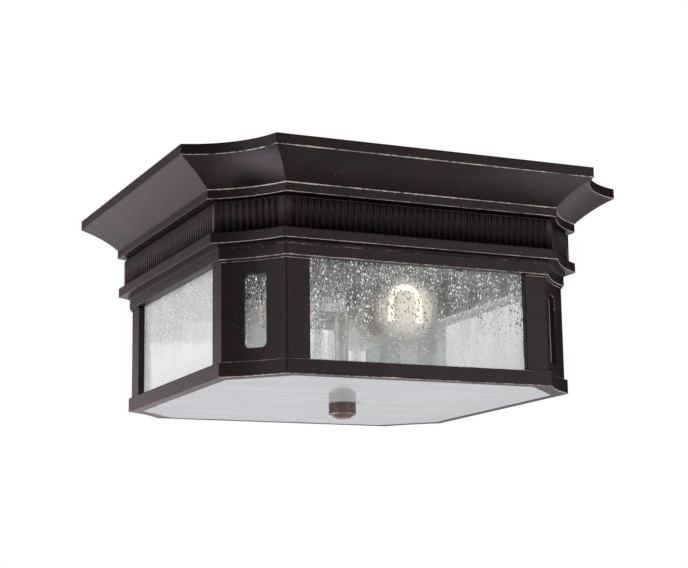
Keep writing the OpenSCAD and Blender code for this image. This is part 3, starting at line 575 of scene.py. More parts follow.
def warm_bronze(f):
    """The finial's coat: a redder, much lighter copy of the bronze, painted sheen for the light
    it reflects, with rubbed edges painted pale as a highlight ring.
    """
    wear_and_shading = f.wear_and_shading()
    broad = f.noise(60, 3, 0.6)
    fine = f.noise(420, 3, 0.6)
    # A lighter, redder copy of the bronze ground: partly painted sheen for the light the finial
    # reflects.
    ground = f.blend((0.20, 0.125, 0.11), (0.10, 0.05, 0.042), broad.between(0.42, 0.72))
    ground = f.blend(ground, (0.06, 0.035, 0.03), fine.between(0.58, 0.78) * 0.7)
    # Pale edges: rubbing, and a painted highlight ring.
    rubbing_and_shading = (wear_and_shading * 0.8 + (fine - 0.5) * 1.2 - 0.15).between(0.1, 0.7) * wear_and_shading.between(0.05, 0.5)
    colour = f.blend(ground, (0.62, 0.54, 0.48), rubbing_and_shading)
    return f.done(Base_Color=colour, Metallic=0.25 + rubbing_and_shading * 0.4, Roughness=0.26 + fine * 0.12,
                  Normal=f.bump(fine, 0.3, 0.00012))


def slant_of(f):
    """0 where a surface is looked at square on, 1 at its outline."""
    return f.node("ShaderNodeLayerWeight", {"Blend": 0.5}, out="Facing")


def veil(f, clearness):
    """How much a hazy pane hides: 1 - clearness ^ (path cubed), where the path through the
    haze is 1 / (cosine of the slant + 0.08), so that a pane seen on the slant is whiter."""
    path = 1 / (1.08 - slant_of(f))
    return 1 - f.node("ShaderNodeMath", {0: clearness, 1: path * path * path}, operation="POWER")


# Heights between which the side panes' seeds crowd and their clear foot ends
PANE_FOOT, PANE_HIGH = -138 * MM, -82 * MM
CLEAR_FOOT, SPECKS_FULL, HAZE_GONE = -136 * MM, -100 * MM, -96 * MM


def seeded(f, clearness=0.94, film=0.0, foot=0.24):
    """Clear glass full of seeds: small bubbles, crowded in upright streaks near the top and
    nearly gone lower down, in a pale haze. The seeds are painted bright and glowing, a painted
    glint for the light they bend, with a dark speck beside them on the outer face, painted shade
    for the dark inside seen through them. Without a film, dark streaks near the top are painted
    shade too. The haze glows a little in any case: painted light. They reach lower at the left
    of a pane, seen from outside, than at its right. 'film' is how much darker the haze is near
    the top, and 'foot' how much thicker it is near the foot."""
    c = colours()
    where = f.node("ShaderNodeTexCoord", out="Object")
    facing = f.node("ShaderNodeTexCoord", out="Normal")
    outer = f.node("ShaderNodeVectorMath", {0: where, 1: facing}, out="Value",
                   operation="DOT_PRODUCT").between(0.05, 0.08)
    streak = f.noise(150, 3, 0.65, stretch=(1, 1, 0.08))
    patch = f.noise(40, 2, 0.5, stretch=(1, 1, 0.3))
    height = f.channel(where, "Z")
    upper = height.between(PANE_FOOT, PANE_HIGH)
    aside = f.channel(f.node("ShaderNodeVectorMath", {0: where, 1: facing},
                             operation="CROSS_PRODUCT"), "Z") * (outer * 2 - 1)
    lean = (aside.between(-0.07, 0.07) - 0.5) * (1.2 - upper)
    crowd = (streak - 0.5) * 3.8 + (patch - 0.5) * 2.6 + upper * 1.10 + lean * 0.7 - 0.30
    slim = (1, 1, 0.6)
    cell = f.cells(520, "Color", slim)
    here = (crowd - f.channel(cell, "X")).between(0.0, 0.06)
    size = f.channel(cell, "Y") * 0.14
    seed = (1 - (f.cells(520, stretch=slim) - size).between(0.10, 0.20)) * here
    fine = f.cells(850, "Color", slim)
    there = (crowd - f.channel(fine, "Z")).between(0.0, 0.06)
    small = (1 - f.cells(850, stretch=slim).between(0.20, 0.32)) * there
    # The seeds, painted bright: a painted glint for the light they bend.
    bright = (seed + small * 0.7).bounded()
    # Painted shade: a dark speck beside each seed on the outer face, for the dark inside seen
    # through it, fainter on the slant and low down.
    beside = (0.0007, 0.0004, 0.0007)
    speck = f.cells(560, stretch=slim, shift=beside)
    dark = (crowd + 0.02 - f.channel(f.cells(560, "Color", slim, beside), "X")).between(0, 0.08)
    shade = (1 - speck.between(0.24, 0.36)) * dark * (1 - bright)
    square_on = 1 - slant_of(f).between(0.2, 0.6) * 0.7
    shade = shade * height.between(CLEAR_FOOT, SPECKS_FULL) * outer * square_on
    haze = c.glass
    haziness = veil(f, clearness) + (1 - height.between(CLEAR_FOOT, HAZE_GONE)) * foot
    haziness = haziness + (streak - 0.5) * 0.06
    if film:
        haze = f.blend(haze, [v * 0.16 for v in c.glass], upper * film)
        haze = f.blend(haze, (0.30, 0.30, 0.29), 0.35 * film)
    else:
        # Painted shade: dark streaks near the top, for the dark inside seen through the pane,
        # fainter on the slant. They also thicken the haze.
        painted_shade_streaks = streak.between(0.46, 0.60) * (upper * 0.7 + 0.1) * (0.7 + lean) * square_on
        haze = f.blend(haze, (0.03, 0.035, 0.032), (painted_shade_streaks * 1.2).bounded())
        haziness = haziness + painted_shade_streaks * 0.50
    # Painted shade: the dark specks' colour, then the seeds' painted glints.
    colour = f.blend(haze, (0.02, 0.03, 0.028), shade)
    colour = f.blend(colour, c.seed, bright)
    alpha = (haziness + bright * 0.8 + shade * 0.75).bounded()
    relief = f.bump(seed + streak * 1.6, 0.5, 0.0004)
    # Painted light: the haze glows with 0.42 of its colour, the seeds glow in their own colour,
    # and the dark specks do not glow.
    dim = f.blend((0, 0, 0), haze, 0.42)
    glow = f.blend(f.blend(dim, (0, 0, 0), shade), c.seed, bright)
    return f.done(Base_Color=colour, Alpha=alpha, Roughness=0.06, Normal=relief,
                  Emission_Color=glow, Emission_Strength=0.50)


def slot_seeded(f):
    """The glass behind the posts' slots: the same, hazier and dull near the top."""
    return seeded(f, 0.38, 1.0, 0.0)


def bottom_seeded(f):
    """The bottom pane: hazier glass with fine streaks across it and few seeds, with a faint
    glow in its own colour: painted light standing in for the lamps' light in the haze."""
    c = colours()
    streak = f.noise(70, 4, 0.65, stretch=(0.10, 1.6, 1))
    cloud = f.noise(26, 3, 0.6, stretch=(0.5, 1.4, 1))
    seed = (1 - f.cells(260).between(0.10, 0.20)) * cloud.between(0.52, 0.60)
    colour = f.blend([v * 0.84 for v in c.bottom], c.bottom, streak.between(0.34, 0.62))
    colour = f.blend(colour, [v * 0.78 for v in c.bottom], cloud.between(0.40, 0.62) * 0.6)
    colour = f.blend(colour, (0.9, 0.95, 0.95), seed * 0.5)
    alpha = (veil(f, 0.975) + (cloud - 0.5) * 0.35 + seed * 0.2).bounded()
    return f.done(Base_Color=colour, Alpha=alpha, Roughness=0.07,
                  Normal=f.bump(streak + cloud, 0.25, 0.0004),
                  Emission_Color=colour, Emission_Strength=0.04)


def enamel(f):
    """White baked enamel, a little uneven."""
    c = colours()
    cloud = f.noise(60, 3)
    colour = f.blend(c.enamel, [v * 0.86 for v in c.enamel], cloud.between(0.4, 0.75))
    return f.done(Base_Color=colour, Roughness=0.32 + cloud * 0.1,
                  Normal=f.bump(f.noise(500), 0.1, 0.0001))


def zinc(f):
    """Zinc plate: satin, with faint spangles."""
    c = colours()
    shade = f.channel(f.cells(300, out="Color"), "X")
    colour = f.blend(c.zinc, [v * 0.7 for v in c.zinc], shade)
    return f.done(Base_Color=colour, Metallic=1.0, Roughness=0.30 + shade * 0.14,
                  Normal=f.bump(f.noise(900), 0.15, 0.0001))


def brass(f):
    """Plain brass with a dull film."""
    c = colours()
    film = f.noise(160, 4, 0.6)
    colour = f.blend(c.brass, (0.30, 0.20, 0.09), film.between(0.45, 0.8))
    return f.done(Base_Color=colour, Metallic=1.0, Roughness=0.24 + film * 0.2,
                  Normal=f.bump(film, 0.1, 0.0001))


def coated(f, colour, other, rough, scale):
    """A plain coloured skin with a fine grain."""
    grain = f.noise(scale, 3, 0.6)
    mixed = f.blend(colour, other, grain.between(0.35, 0.7))
    return f.done(Base_Color=mixed, Roughness=rough + (grain - 0.5) * 0.15,
                  Normal=f.bump(grain, 0.3, 0.00012))


def foam(f):
    """Grey cellular foam."""
    pore = f.cells(900)
    colour = f.blend((0.015, 0.015, 0.016), (0.07, 0.07, 0.07), pore.between(0.1, 0.5))
    return f.done(Base_Color=colour, Roughness=0.9 - pore * 0.1,
                  Normal=f.bump(pore, 0.6, 0.0004))


def porcelain(f):
    """Glazed white porcelain with a few dark pin holes."""
    pin = (1 - f.cells(190).between(0.02, 0.06)) * f.noise(70, 1).between(0.6, 0.64)
    cloud = f.noise(50, 2)
    colour = f.blend((0.52, 0.51, 0.47), (0.44, 0.43, 0.39), cloud.between(0.4, 0.7))
    colour = f.blend(colour, (0.1, 0.08, 0.06), pin)
    return f.done(Base_Color=colour, Roughness=0.16 + cloud * 0.08,
                  Normal=f.bump(cloud, 0.1, 0.0002))


def lamp_glass(f):
    """Thin lamp glass that glows softly where it is looked at square on."""
    c = colours()
    ripple = f.noise(60, 2)
    facing = 1 - slant_of(f)
    glow = facing.between(0.45, 1.0)
    return f.done(Base_Color=f.blend((0.75, 0.74, 0.70), (0.6, 0.6, 0.57), ripple),
                  Alpha=0.05 + glow * 0.22 + (ripple - 0.5) * 0.04, Roughness=0.05,
                  Emission_Color=f.blend((0, 0, 0), c.glow, glow),
                  Emission_Strength=1.0, Normal=f.bump(ripple, 0.1, 0.0003))


def clear_glass(f):
    """Clear lamp glass."""
    ripple = f.noise(90, 2)
    return f.done(Base_Color=f.blend((0.70, 0.72, 0.70), (0.5, 0.52, 0.5), ripple),
                  Alpha=0.22 + ripple * 0.1, Roughness=0.05,
                  Normal=f.bump(ripple, 0.1, 0.0003))


def glowing(f):
    """The filament's arch, lit."""
    c = colours()
    flicker = f.noise(260, 2)
    light = f.blend(c.glow, (1.0, 0.93, 0.78), flicker.between(0.35, 0.65))
    return f.done(Base_Color=(0.9, 0.8, 0.6), Roughness=0.4, Emission_Color=light,
                  Emission_Strength=1.2)


MAKERS = {"dark_bronze": bronze, "warm_bronze": warm_bronze, "seeded_glass": seeded,
          "slot_glass": slot_seeded, "bottom_glass": bottom_seeded, "white_enamel": enamel,
          "zinc_plate": zinc, "brass": brass, "foam": foam, "porcelain": porcelain,
          "lamp_glass": lamp_glass, "clear_glass": clear_glass, "filament_glow": glowing}

# What coated() takes: matt black rubber, the leads' insulation, the ground screws' painted
# heads and the moulded shells of the wire connectors
COATS = {"rubber": ((0.018, 0.018, 0.018), (0.05, 0.048, 0.045), 0.62, 220),
         "black_insulation": ((0.014, 0.014, 0.015), (0.03, 0.03, 0.03), 0.42, 220),
         "white_insulation": ((0.74, 0.73, 0.70), (0.62, 0.61, 0.57), 0.42, 220),
         "green_insulation": ((0.02, 0.16, 0.05), (0.015, 0.11, 0.04), 0.42, 220),
         "green_paint": ((0.03, 0.22, 0.09), (0.05, 0.16, 0.08), 0.3, 400),
         "connector_shell": ((0.62, 0.14, 0.02), (0.50, 0.11, 0.02), 0.38, 300)}
FINISHES = {}


def finish(name):
    """The material of this name, built once from what is listed for it."""
    if name not in FINISHES:
        f = Finish(bpy.data.materials.new(name))
        FINISHES[name] = coated(f, *COATS[name]) if name in COATS else MAKERS[name](f)
    return FINISHES[name]


# Pieces. Their marks are 0 to 1 on rubbed edges, which are also painted highlight lines, below 0
# for painted shade in inner corners, flute hollows and along the posts' arrises, and BARE inside.

BARE = -2.0
SPREAD = np.linspace(-0.9, 0.9, 5)
BORE_R = 2.1 * MM
BOSS_R = 4.5 * MM

# Blocks inside the corners, in mm: length, breadth and height, then how far they lie out along
# the corner's diagonal, to its side and up
FRIEZE_EAR = ((16.4, 13, 3), (152.8, 0, -33.6))
POST_EARS = tuple(((13.5, 13, 3), (148.8, 0, up)) for up in (-72.1, -136.5))
GLASS_GUIDES = tuple(block_at for side in (-1, 1)
                     for block_at in (((6.4, 2.5, 60.8), (152.4, side * 14.55, -104.6)),
                                      ((1.4, 2.2, 60.8), (149.9, side * 12.9, -104.6))))


def join_wear_and_shading(along_profile, along_plan, outside):
    """Marks of a moulding: the stronger of its profile's and its plan's, the painted shade of
    inner corners first, and bare inside."""
    a = np.broadcast_to(along_profile[:, None], (len(along_profile), len(along_plan)))
    b = np.broadcast_to(along_plan[None, :], a.shape)
    return np.where(outside[:, None], np.where(a < 0, a, np.maximum(a, 0.1 * b)), BARE)


def inner_block(size, place, quarter):
    """A block inside a corner."""
    shape = at_diagonal(block(np.array(size) * MM), quarter, *np.array(place) * MM)
    return capped(shape, BARE)


def bosses(low, high, reach, foot):
    """Four tubes for screws, this far out in the corners and soft by 'foot' at the foot."""
    tube, level = softened([(BORE_R, low), (BOSS_R, low), (BOSS_R, high), (BORE_R, high)],
                           [0, foot, 0.4 * MM, 0.3 * MM])
    at = reach / math.sqrt(2)
    return [turned(tube, level, (at * x, at * y, 0), 32) for x in (-1, 1) for y in (-1, 1)]


class MakeCornice(bpy.types.Operator):
    """Cornice: a moulding carried round the square, with screw bosses inside its corners"""
    bl_idname = "porch.cornice"
    bl_label = "Cornice"

    def execute(self, context):
        s = context.scene.porch_metal
        points, cove_foot = self.outline(s)
        reach = np.zeros(len(points))
        reach[:2] = 0.3 * MM, s.soft
        reach[cove_foot:cove_foot + 4] = s.soft, s.soft, 0.3 * MM, 0.3 * MM
        # Corner cove_foot, an inner corner at the cove's foot, gets a pale line instead of
        # painted shade: a painted highlight.
        profile, worn_and_highlight = softened(points, reach, rub={0: 0.2, cove_foot: 0.95})
        xy, side = plan(profile[:, 0], s.crown_half + s.crown_out,
                        s.crown_curve + s.crown_half - profile[:, 0], along=SPREAD,
                        around=np.linspace(0, 1, 34)[1:-1])
        outside = profile[:, 0] > s.fillet_half - 2 * MM
        patches = [grid(standing(xy, profile[:, 1]), join_wear_and_shading(worn_and_highlight, side, outside))]
        boss_foot, boss_top, boss_out = -29.4 * MM, -20.9 * MM, 150.1 * MM
        patches += bosses(boss_foot, boss_top, boss_out, 0)
        make_piece("cornice_casting", patches, finish("dark_bronze"), "housing",
                   ["cornice"])
        return {"FINISHED"}

    @staticmethod
    def outline(s):
        """The moulding's section: fascia, a cove that dips 4 d t (1 - t) from its chord, the
        lower strip and the flange, and back up inside with an even wall to the gasket's
        seat. Returns its points and the number of the one at the cove's foot."""
        seat = s.crown_half - s.crown_wall
        lip = seat - s.foam_width
        low = s.fillet_half - s.crown_wall
        flange, deck = s.fillet_half - s.flange, s.flange_wall - s.fillet_drop
        run = np.array([s.crown_half - s.fillet_half, s.cove_drop - s.fascia_drop])
        chord = np.linalg.norm(run)
        lift = (s.crown_wall + s.cove_dip) * chord / run[0] - s.fascia_drop

        def inner(w):
            """Height of the wall's inner face over the cove."""
            return lift - (s.crown_half - w) * run[1] / run[0]

        t = np.linspace(0, 1, 15)[1:-1]
        hollow = s.cove_dip * 4 * t * (1 - t)
        cove = np.stack([s.crown_half - run[0] * t - hollow * run[1] / chord,
                         -s.fascia_drop - run[1] * t + hollow * run[0] / chord], 1)
        points = np.concatenate([
            [(s.crown_half, 0), (s.crown_half, -s.fascia_drop)], cove,
            [(s.fillet_half, -s.cove_drop), (s.fillet_half, -s.fillet_drop),
             (flange, -s.fillet_drop), (flange, deck), (low, deck), (low, inner(low)),
             (lip, inner(lip)), (lip, -s.foam_depth), (seat, -s.foam_depth), (seat, 0)]])
        return points, len(cove) + 2


def flute_samples(s):
    """Where the frieze is sampled: seven points to a flute on the faces and in the corners.
    Returns, for the faces and then the corners, the fractions, each one's depth, which is a
    circle's sqrt(r^2 - x^2) - (r - depth), and its mark, below 0 for painted shade in the hollow."""
    x = np.array([-0.5, -0.385, -0.27, -0.1, 0.1, 0.27, 0.385]) * s.flute_pitch
    # Marks across a flute: above 0 on the lands, below 0 for painted shade in its hollow.
    edge = np.array([0.3, 0.75, -0.35, -0.9, -0.9, -0.35, 0.75])
    r = (s.flute_width ** 2 / 4 + s.flute_depth ** 2) / (2 * s.flute_depth)
    depth = np.maximum(np.sqrt(np.maximum(r ** 2 - x ** 2, 0)) - (r - s.flute_depth), 0)
    centre = s.post_half + s.body_out
    radius = s.body_curve + s.post_half - s.frieze_half
    c = corner_of(s.frieze_half, centre, radius)
    far = s.soft + GUARD
    span = radius * abs(math.atan2(s.frieze_half - centre, c - centre)
                        - math.atan2(c - centre, s.frieze_half - centre))
    samples = []
    for total in (2 * c, span):
        count = int((total - 2 * s.flute_margin) / s.flute_pitch)
        start = (np.arange(count) - (count - 1) / 2) * s.flute_pitch
        at = np.append((start[:, None] + x[None, :]).ravel(), start[-1] + s.flute_pitch / 2)
        samples += [at / (total / 2 - far), np.append(np.tile(depth, count), 0),
                    np.append(np.tile(edge, count), edge[0])]
    samples[3] = samples[3] / 2 + 0.5
    return samples


class MakeFrieze(bpy.types.Operator):
    """Frieze body: recess, fluted frieze, ledge, bead and band, with its screw ears"""
    bl_idname = "porch.frieze"
    bl_label = "Frieze"

    def execute(self, context):
        s = context.scene.porch_metal
        core = s.frieze_half - 1.9 * MM
        centre = s.post_half + s.body_out
        grow = s.body_curve + s.post_half
        patches = [self.body(s, core, centre, grow), self.flutes(s, core, centre, grow)]
        patches += [inner_block(*FRIEZE_EAR, q) for q in range(4)]
        boss_tall, boss_out = 10 * MM, 146.5 * MM
        patches += bosses(-s.band_drop, boss_tall - s.band_drop, boss_out, 0.2 * MM)
        make_piece("frieze_casting", patches, finish("dark_bronze"), "housing",
                   ["frieze_body"])
        return {"FINISHED"}

    @staticmethod
    def body(s, core, centre, grow):
        """The moulding from the recess down to the band, with a plain core behind the
        flutes, laid round the square."""
        quirk = s.frieze_half - s.quirk_depth
        recess = -s.quirk_drop - 0.2 * MM
        bead = s.band_half + s.bead_out
        inner = s.post_half - s.post_wall
        step = s.frieze_drop + 3.55 * MM
        points = [(quirk, -s.fillet_drop), (quirk, recess), (core, recess),
                  (core, -s.frieze_drop), (s.ledge_half, -s.frieze_drop),
                  (s.ledge_half, -s.ledge_drop), (bead, -s.ledge_drop), (bead, -s.bead_drop),
                  (s.band_half, -s.bead_drop), (s.band_half, -s.band_drop),
                  (inner, -s.band_drop), (inner, -step), (s.cavity_half, -step),
                  (s.cavity_half, -s.fillet_drop)]
        reach = [0, 0, 0, 0, s.soft, s.soft, 0.25 * MM, s.soft * 0.8, 0.25 * MM, s.soft * 1.3,
                 0.3 * MM, 0, 0, 0]
        # Corner 8, the inner corner under the bead, gets a pale line instead of painted shade: a
        # painted highlight.
        profile, worn_and_highlight = softened(points, reach, rub={4: 0.25, 7: 0.5, 8: 0.6})
        xy, side = plan(profile[:, 0], centre, grow - profile[:, 0], along=SPREAD)
        outside = (profile[:, 0] > s.cavity_half + 0.4 * MM) \
            | (profile[:, 1] < -s.band_drop + 1 * MM)
        return grid(standing(xy, profile[:, 1]), join_wear_and_shading(worn_and_highlight, side, outside))

    @staticmethod
    def flutes(s, core, centre, grow):
        """The fluted face, a thin slab over the core that flute_samples() cuts into: plain
        between the flutes, and darkened in their hollows with painted shade."""
        top, foot, back = -s.quirk_drop, -s.frieze_drop - 0.3 * MM, core - 0.6 * MM
        profile, worn_and_highlight = softened([(back, top), (s.frieze_half, top), (s.frieze_half, foot),
                                  (back, foot)], [0, 0.3 * MM, 0, 0], guard=1.3 * MM,
                                 rub={1: 0.2})
        face = profile[:, 0] > s.frieze_half - 0.35 * MM
        along, deep, mark, around, deep2, mark2 = flute_samples(s)
        xy, side = plan(profile[:, 0], centre, grow - profile[:, 0], along=along,
                        around=around, cut=face[:, None] * deep[None, :],
                        cut_around=face[:, None] * deep2[None, :])
        marks = np.tile(np.concatenate([np.zeros(2), mark, np.zeros(7), mark2, np.zeros(5)]),
                        4)[None, :]
        edge = join_wear_and_shading(worn_and_highlight, side, face)
        # Marks on the lands are brought to about 0, and those in the hollows become painted
        # shade.
        rubbing_and_shading = np.where(marks > 0, marks * 0.12 - 0.1, marks * 1.1)
        edge = np.where(face[:, None] & (marks != 0), rubbing_and_shading, edge)
        return grid(standing(xy, profile[:, 1]), edge)


class MakeRim(bpy.types.Operator):
    """Bottom rim: the body's plan outside and a cut-cornered seat for the glass inside"""
    bl_idname = "porch.rim"
    bl_label = "Bottom rim"

    def execute(self, context):
        s = context.scene.porch_metal
        # Two skins, both open: one round the outside, and the seat's, given as distances out
        # from the seat's wall. Straight quads join them at the top and at the underside.
        back = s.rim_half - 5 * MM
        out, level = softened([(back, -s.rim_drop), (s.rim_half, -s.rim_drop),
                               (s.rim_half, -s.bottom_drop), (back, -s.bottom_drop)],
                              [0, s.soft, s.soft * 1.4, 0], closed=False)
        outward, inward = 9 * MM, -s.shelf_in
        seat, seat_level = softened([(outward, -s.bottom_drop), (0, -s.bottom_drop),
                                     (0, -s.shelf_drop), (inward, -s.shelf_drop),
                                     (inward, -s.rim_drop), (outward, -s.rim_drop)],
                                    [0, s.soft, 0.2 * MM, 0.4 * MM, 0.4 * MM, 0],
                                    closed=False)
        seat, seat_level = seat[1:-1], seat_level[1:-1]
        outer, side = plan(out[:, 0], s.post_half + s.body_out,
                           s.body_curve + s.post_half - out[:, 0], along=SPREAD)
        share = seat[:, 0] / inward
        cut = s.seat_cut + np.clip(share, None, 1) * (s.shelf_cut - s.seat_cut)
        cut = np.where(share < 0, s.seat_cut + 1.2 * seat[:, 0], cut)
        inner = octagon(s.seat_half + seat[:, 0], cut, along=SPREAD)
        edge = np.concatenate([join_wear_and_shading(level, side, np.ones(len(level), bool)),
                               join_wear_and_shading(seat_level, side * 0, seat[:, 1] < -s.shelf_drop)])
        points = np.concatenate([standing(outer, out[:, 1]), standing(inner, seat[:, 1])])
        make_piece("rim_casting", [grid(points, edge)], finish("dark_bronze"), "housing",
                   ["rim_frame"])
        return {"FINISHED"}


# How many points of wall_line() come before its arc, wear along a window's edge from the face
# inwards, wear through the slot from the face inwards, and the way from a hollow corner's
# centre to the light's middle
BEFORE_ARC = 10
WINDOW_WEAR = (0.3, 0.35, 0.3, 0.15, 0)
SLOT_WEAR = (0, 0.2, 0.4, 0.5, 0.4, 0.2, 0, BARE, BARE, BARE, BARE)
DIAGONAL = -0.75 * np.pi


def wall_line(s, half, across):
    """One face of a post's wall in plan, from one window's edge round the hollow corner to
    the other's, with soft corners. 'across' are the distances from the diagonal at which the
    arc is sampled, counted at the outer face, after BEFORE_ARC other points. Returns the
    points and their marks: a little wear at the window's edge, and painted shade, a dark line
    along each arris between a face and the hollow corner."""
    soft, far = s.soft, s.soft + GUARD
    centre = s.post_half + s.body_out
    radius = s.body_curve + s.post_half - half
    c = corner_of(half, centre, radius)
    reach = abs(math.atan2(c - centre, half - centre) - DIAGONAL)
    ends = np.array([reach - soft / radius, reach - far / radius])
    angle = np.concatenate([DIAGONAL + ends, DIAGONAL + np.arcsin(-across / s.body_curve),
                            DIAGONAL - ends[::-1]])
    arc = centre + radius * np.stack([np.cos(angle), np.sin(angle)], 1)
    first = bent(np.array([half, c - soft]), np.array([half, c]), arc[0])
    low = s.window_half
    y = np.array([low + soft, low + far, (low + c) / 2, c - far, c - soft])
    face = np.stack([np.full(5, half), y], 1)
    line = np.concatenate([face, first, arc, first[::-1, ::-1], face[::-1, ::-1]])
    # Painted shade: a dark line along the arris where a flat face turns into the hollow corner.
    arris_shade = -0.5 * EDGE_LEVELS
    end = [0.3 * EDGE_LEVELS[1], 0, 0]
    return line, np.concatenate([end, arris_shade, np.zeros(len(across)), arris_shade, end[::-1]])


class MakePosts(bpy.types.Operator):
    """Corner posts: two flat strips and a hollow plate with a slot, a thin cap strip, and
    the ears and glass guides inside"""
    bl_idname = "porch.posts"
    bl_label = "Corner posts"

    def execute(self, context):
        s = context.scene.porch_metal
        patches = self.walls(s) + [self.cap_strip(s)]
        for q, name in enumerate(("rear_right", "rear_left", "front_left", "front_right")):
            post = [(self.turn(points, q), edge, faces) for points, edge, faces in patches]
            post += [inner_block(*block_at, q) for block_at in GLASS_GUIDES + POST_EARS]
            make_piece("post_" + name, post, finish("dark_bronze"), "housing",
                       ["corner_post_" + name])
        return {"FINISHED"}

    @staticmethod
    def turn(points, quarter):
        """Turns points by quarters about the middle."""
        x, y, z = points[..., 0], points[..., 1], points[..., 2]
        return np.stack([(x, -y, -x, y)[quarter], (y, x, -y, -x)[quarter], z], -1)

    @staticmethod
    def on_wall(s, x, z, depth):
        """Points at a distance from the diagonal, at a height, this deep in the wall."""
        centre, radius = s.post_half + s.body_out, s.body_curve + depth
        angle = DIAGONAL - np.arcsin(x / s.body_curve)
        return np.stack([centre + radius * np.cos(angle), centre + radius * np.sin(angle), z],
                        -1)

    @staticmethod
    def section(s, across):
        """The wall in plan: its outer face, a window's edge, its inner face and the other
        window's edge. Returns its points, their wear, and how many lie on a face and on an
        edge."""
        outer, worn_and_highlight = wall_line(s, s.post_half, across)
        inner, _ = wall_line(s, s.post_half - s.post_wall, across)
        end = np.array([s.post_half, s.window_half])
        back = end - [s.soft, 0]
        edge = np.concatenate([[end - [s.post_wall, 0], back],
                               bent(outer[0], end, back)[::-1]])
        line = np.concatenate([outer, edge[::-1, ::-1], inner[::-1], edge])
        marks = np.concatenate([worn_and_highlight, WINDOW_WEAR, np.full(len(inner), BARE),
                                WINDOW_WEAR[::-1]])
        return line, marks, len(outer), len(edge)

    def walls(self, s):
        """The wall drawn up through its levels and closed at its top and foot. Where the
        slot is, the grid bends to a rounded rectangle, its quads are left out, and a ring of
        rows runs from the outer face through the wall to the inner one."""
        grown = s.slot_half + s.soft + GUARD
        middle = -(s.slot_foot + s.slot_top) / 2
        top = (s.slot_foot - s.slot_top) / 2 + s.soft + GUARD
        # The grid's lines over the slot and beside it, from its middle across and up
        steps = np.array([0, 4.4, 6.9, 8.6]) * MM
        across = np.concatenate([[-16 * MM, -grown], -steps[:0:-1], steps, [grown, 16 * MM]])
        rise = np.array([0, 8, 15, 21.0, 23.5, 25.1]) * MM
        foot, head = -s.rim_drop - middle, -s.band_drop - middle
        heights = np.concatenate([[foot, foot + 1 * MM, -top], -rise[:0:-1], rise,
                                  [top, head - 1 * MM, head]]) + middle
        line, marks, n, e = self.section(s, across)
        total, levels = len(line), len(heights)
        wall = np.concatenate([np.repeat(line[:, None], levels, 1),
                               np.broadcast_to(heights[None, :, None], (total, levels, 1))], 2)
        first, low = 1 + BEFORE_ARC, 2
        last, high = len(across) - 2 + BEFORE_ARC, levels - 3
        j = np.concatenate([np.arange(first, last), np.full(high - low, last),
                            np.arange(last, first, -1), np.full(high - low, first)])
        k = np.concatenate([np.full(last - first, low), np.arange(low, high),
                            np.full(last - first, high), np.arange(high, low, -1)])
        opposite = 2 * n + e - 1
        rim, away = self.slot_outline(s, across[j - BEFORE_ARC], heights[k] - middle, grown,
                                      top)
        wall[j, k] = self.on_wall(s, rim[:, 0], rim[:, 1] + middle, 0.0)
        wall[opposite - j, k] = self.on_wall(s, rim[:, 0], rim[:, 1] + middle, s.post_wall)
        quads = quads_of(total, levels, True, False)
        jj, kk = quads[:, 0] // levels, quads[:, 0] % levels
        hole = ((jj >= first) & (jj < last)) | ((jj >= opposite - last) & (jj < opposite - first))
        quads = quads[~(hole & (kk >= low) & (kk < high))]
        i = np.arange(n - 1)
        ladders = [np.stack([i, i + 1, opposite - 1 - i, opposite - i], 1) * levels + level
                   for level in (0, levels - 1)]
        inward = GUARD + s.soft * np.concatenate([[0], 1 - (1 - ROUNDING) ** 2,
                                                  [1, 1, 1, 0.75, 0]])
        deep = np.concatenate([[0], s.soft * ROUNDING ** 2,
                               [s.soft, s.post_wall / 2, s.post_wall - s.soft,
                                s.post_wall - s.soft * 0.25, s.post_wall]])[:, None]
        ring = rim[None] - away[None] * inward[:, None, None]
        ring = self.on_wall(s, ring[..., 0], ring[..., 1] + middle, deep + 0 * ring[..., 0])
        rows = np.concatenate([wall[j, k][None], ring, wall[opposite - j, k][None]])
        wear_and_shading = np.repeat(marks[:, None], levels, 1).reshape(-1)
        return [(wall.reshape(-1, 3), wear_and_shading, np.concatenate([quads] + ladders)),
                grid(rows, np.array(SLOT_WEAR)[:, None], False, True)] \
            + self.end_caps(wall, n, e)

    @staticmethod
    def slot_outline(s, x, z, grown, top):
        """Bends a rectangle of samples about the slot's middle to round corners. Returns the
        points, and the way out from the slot at each."""
        corner = s.slot_round + s.soft + GUARD
        near = np.stack([np.clip(x, corner - grown, grown - corner),
                         np.clip(z, corner - top, top - corner)], 1)
        away = np.stack([x, z], 1) - near
        away = away / np.linalg.norm(away, axis=1)[:, None]
        return near + away * corner, away

    @staticmethod
    def end_caps(wall, n, e):
        """Closes the top and foot of the wall at its two window edges."""
        total, levels = wall.shape[:2]
        patches = []
        for level in (0, levels - 1):
            for loop in (np.arange(n - 1, n + e + 1),
                         np.append(np.arange(total - e - 1, total), 0)):
                ring = wall[loop, level]
                centre = np.broadcast_to(ring.mean(0), ring.shape)
                patches.append(grid(np.stack([ring, centre]), 0.0, False, True))
        return patches

    @staticmethod
    def cap_strip(s):
        """The thin strip at the top of a post, carried along its outer face."""
        out = s.post_half + s.cap_out
        back = out - 2 * MM
        profile, level = softened([(back, -s.band_drop), (out, -s.band_drop),
                                   (out, -s.cap_drop), (back, -s.cap_drop)],
                                  [0, 0.15 * MM, 0.3 * MM, 0], guard=0.2 * MM)
        across = np.linspace(-18, 18, 13) * MM
        lines = [wall_line(s, half, across) for half in profile[:, 0]]
        line = np.stack([p for p, _ in lines], 1)
        heights = np.broadcast_to(profile[:, 1][None, :, None], line.shape[:2] + (1,))
        edge = np.maximum(level[None, :], 0.7 * lines[0][1][:, None])
        return capped(np.concatenate([line, heights], 2), edge)


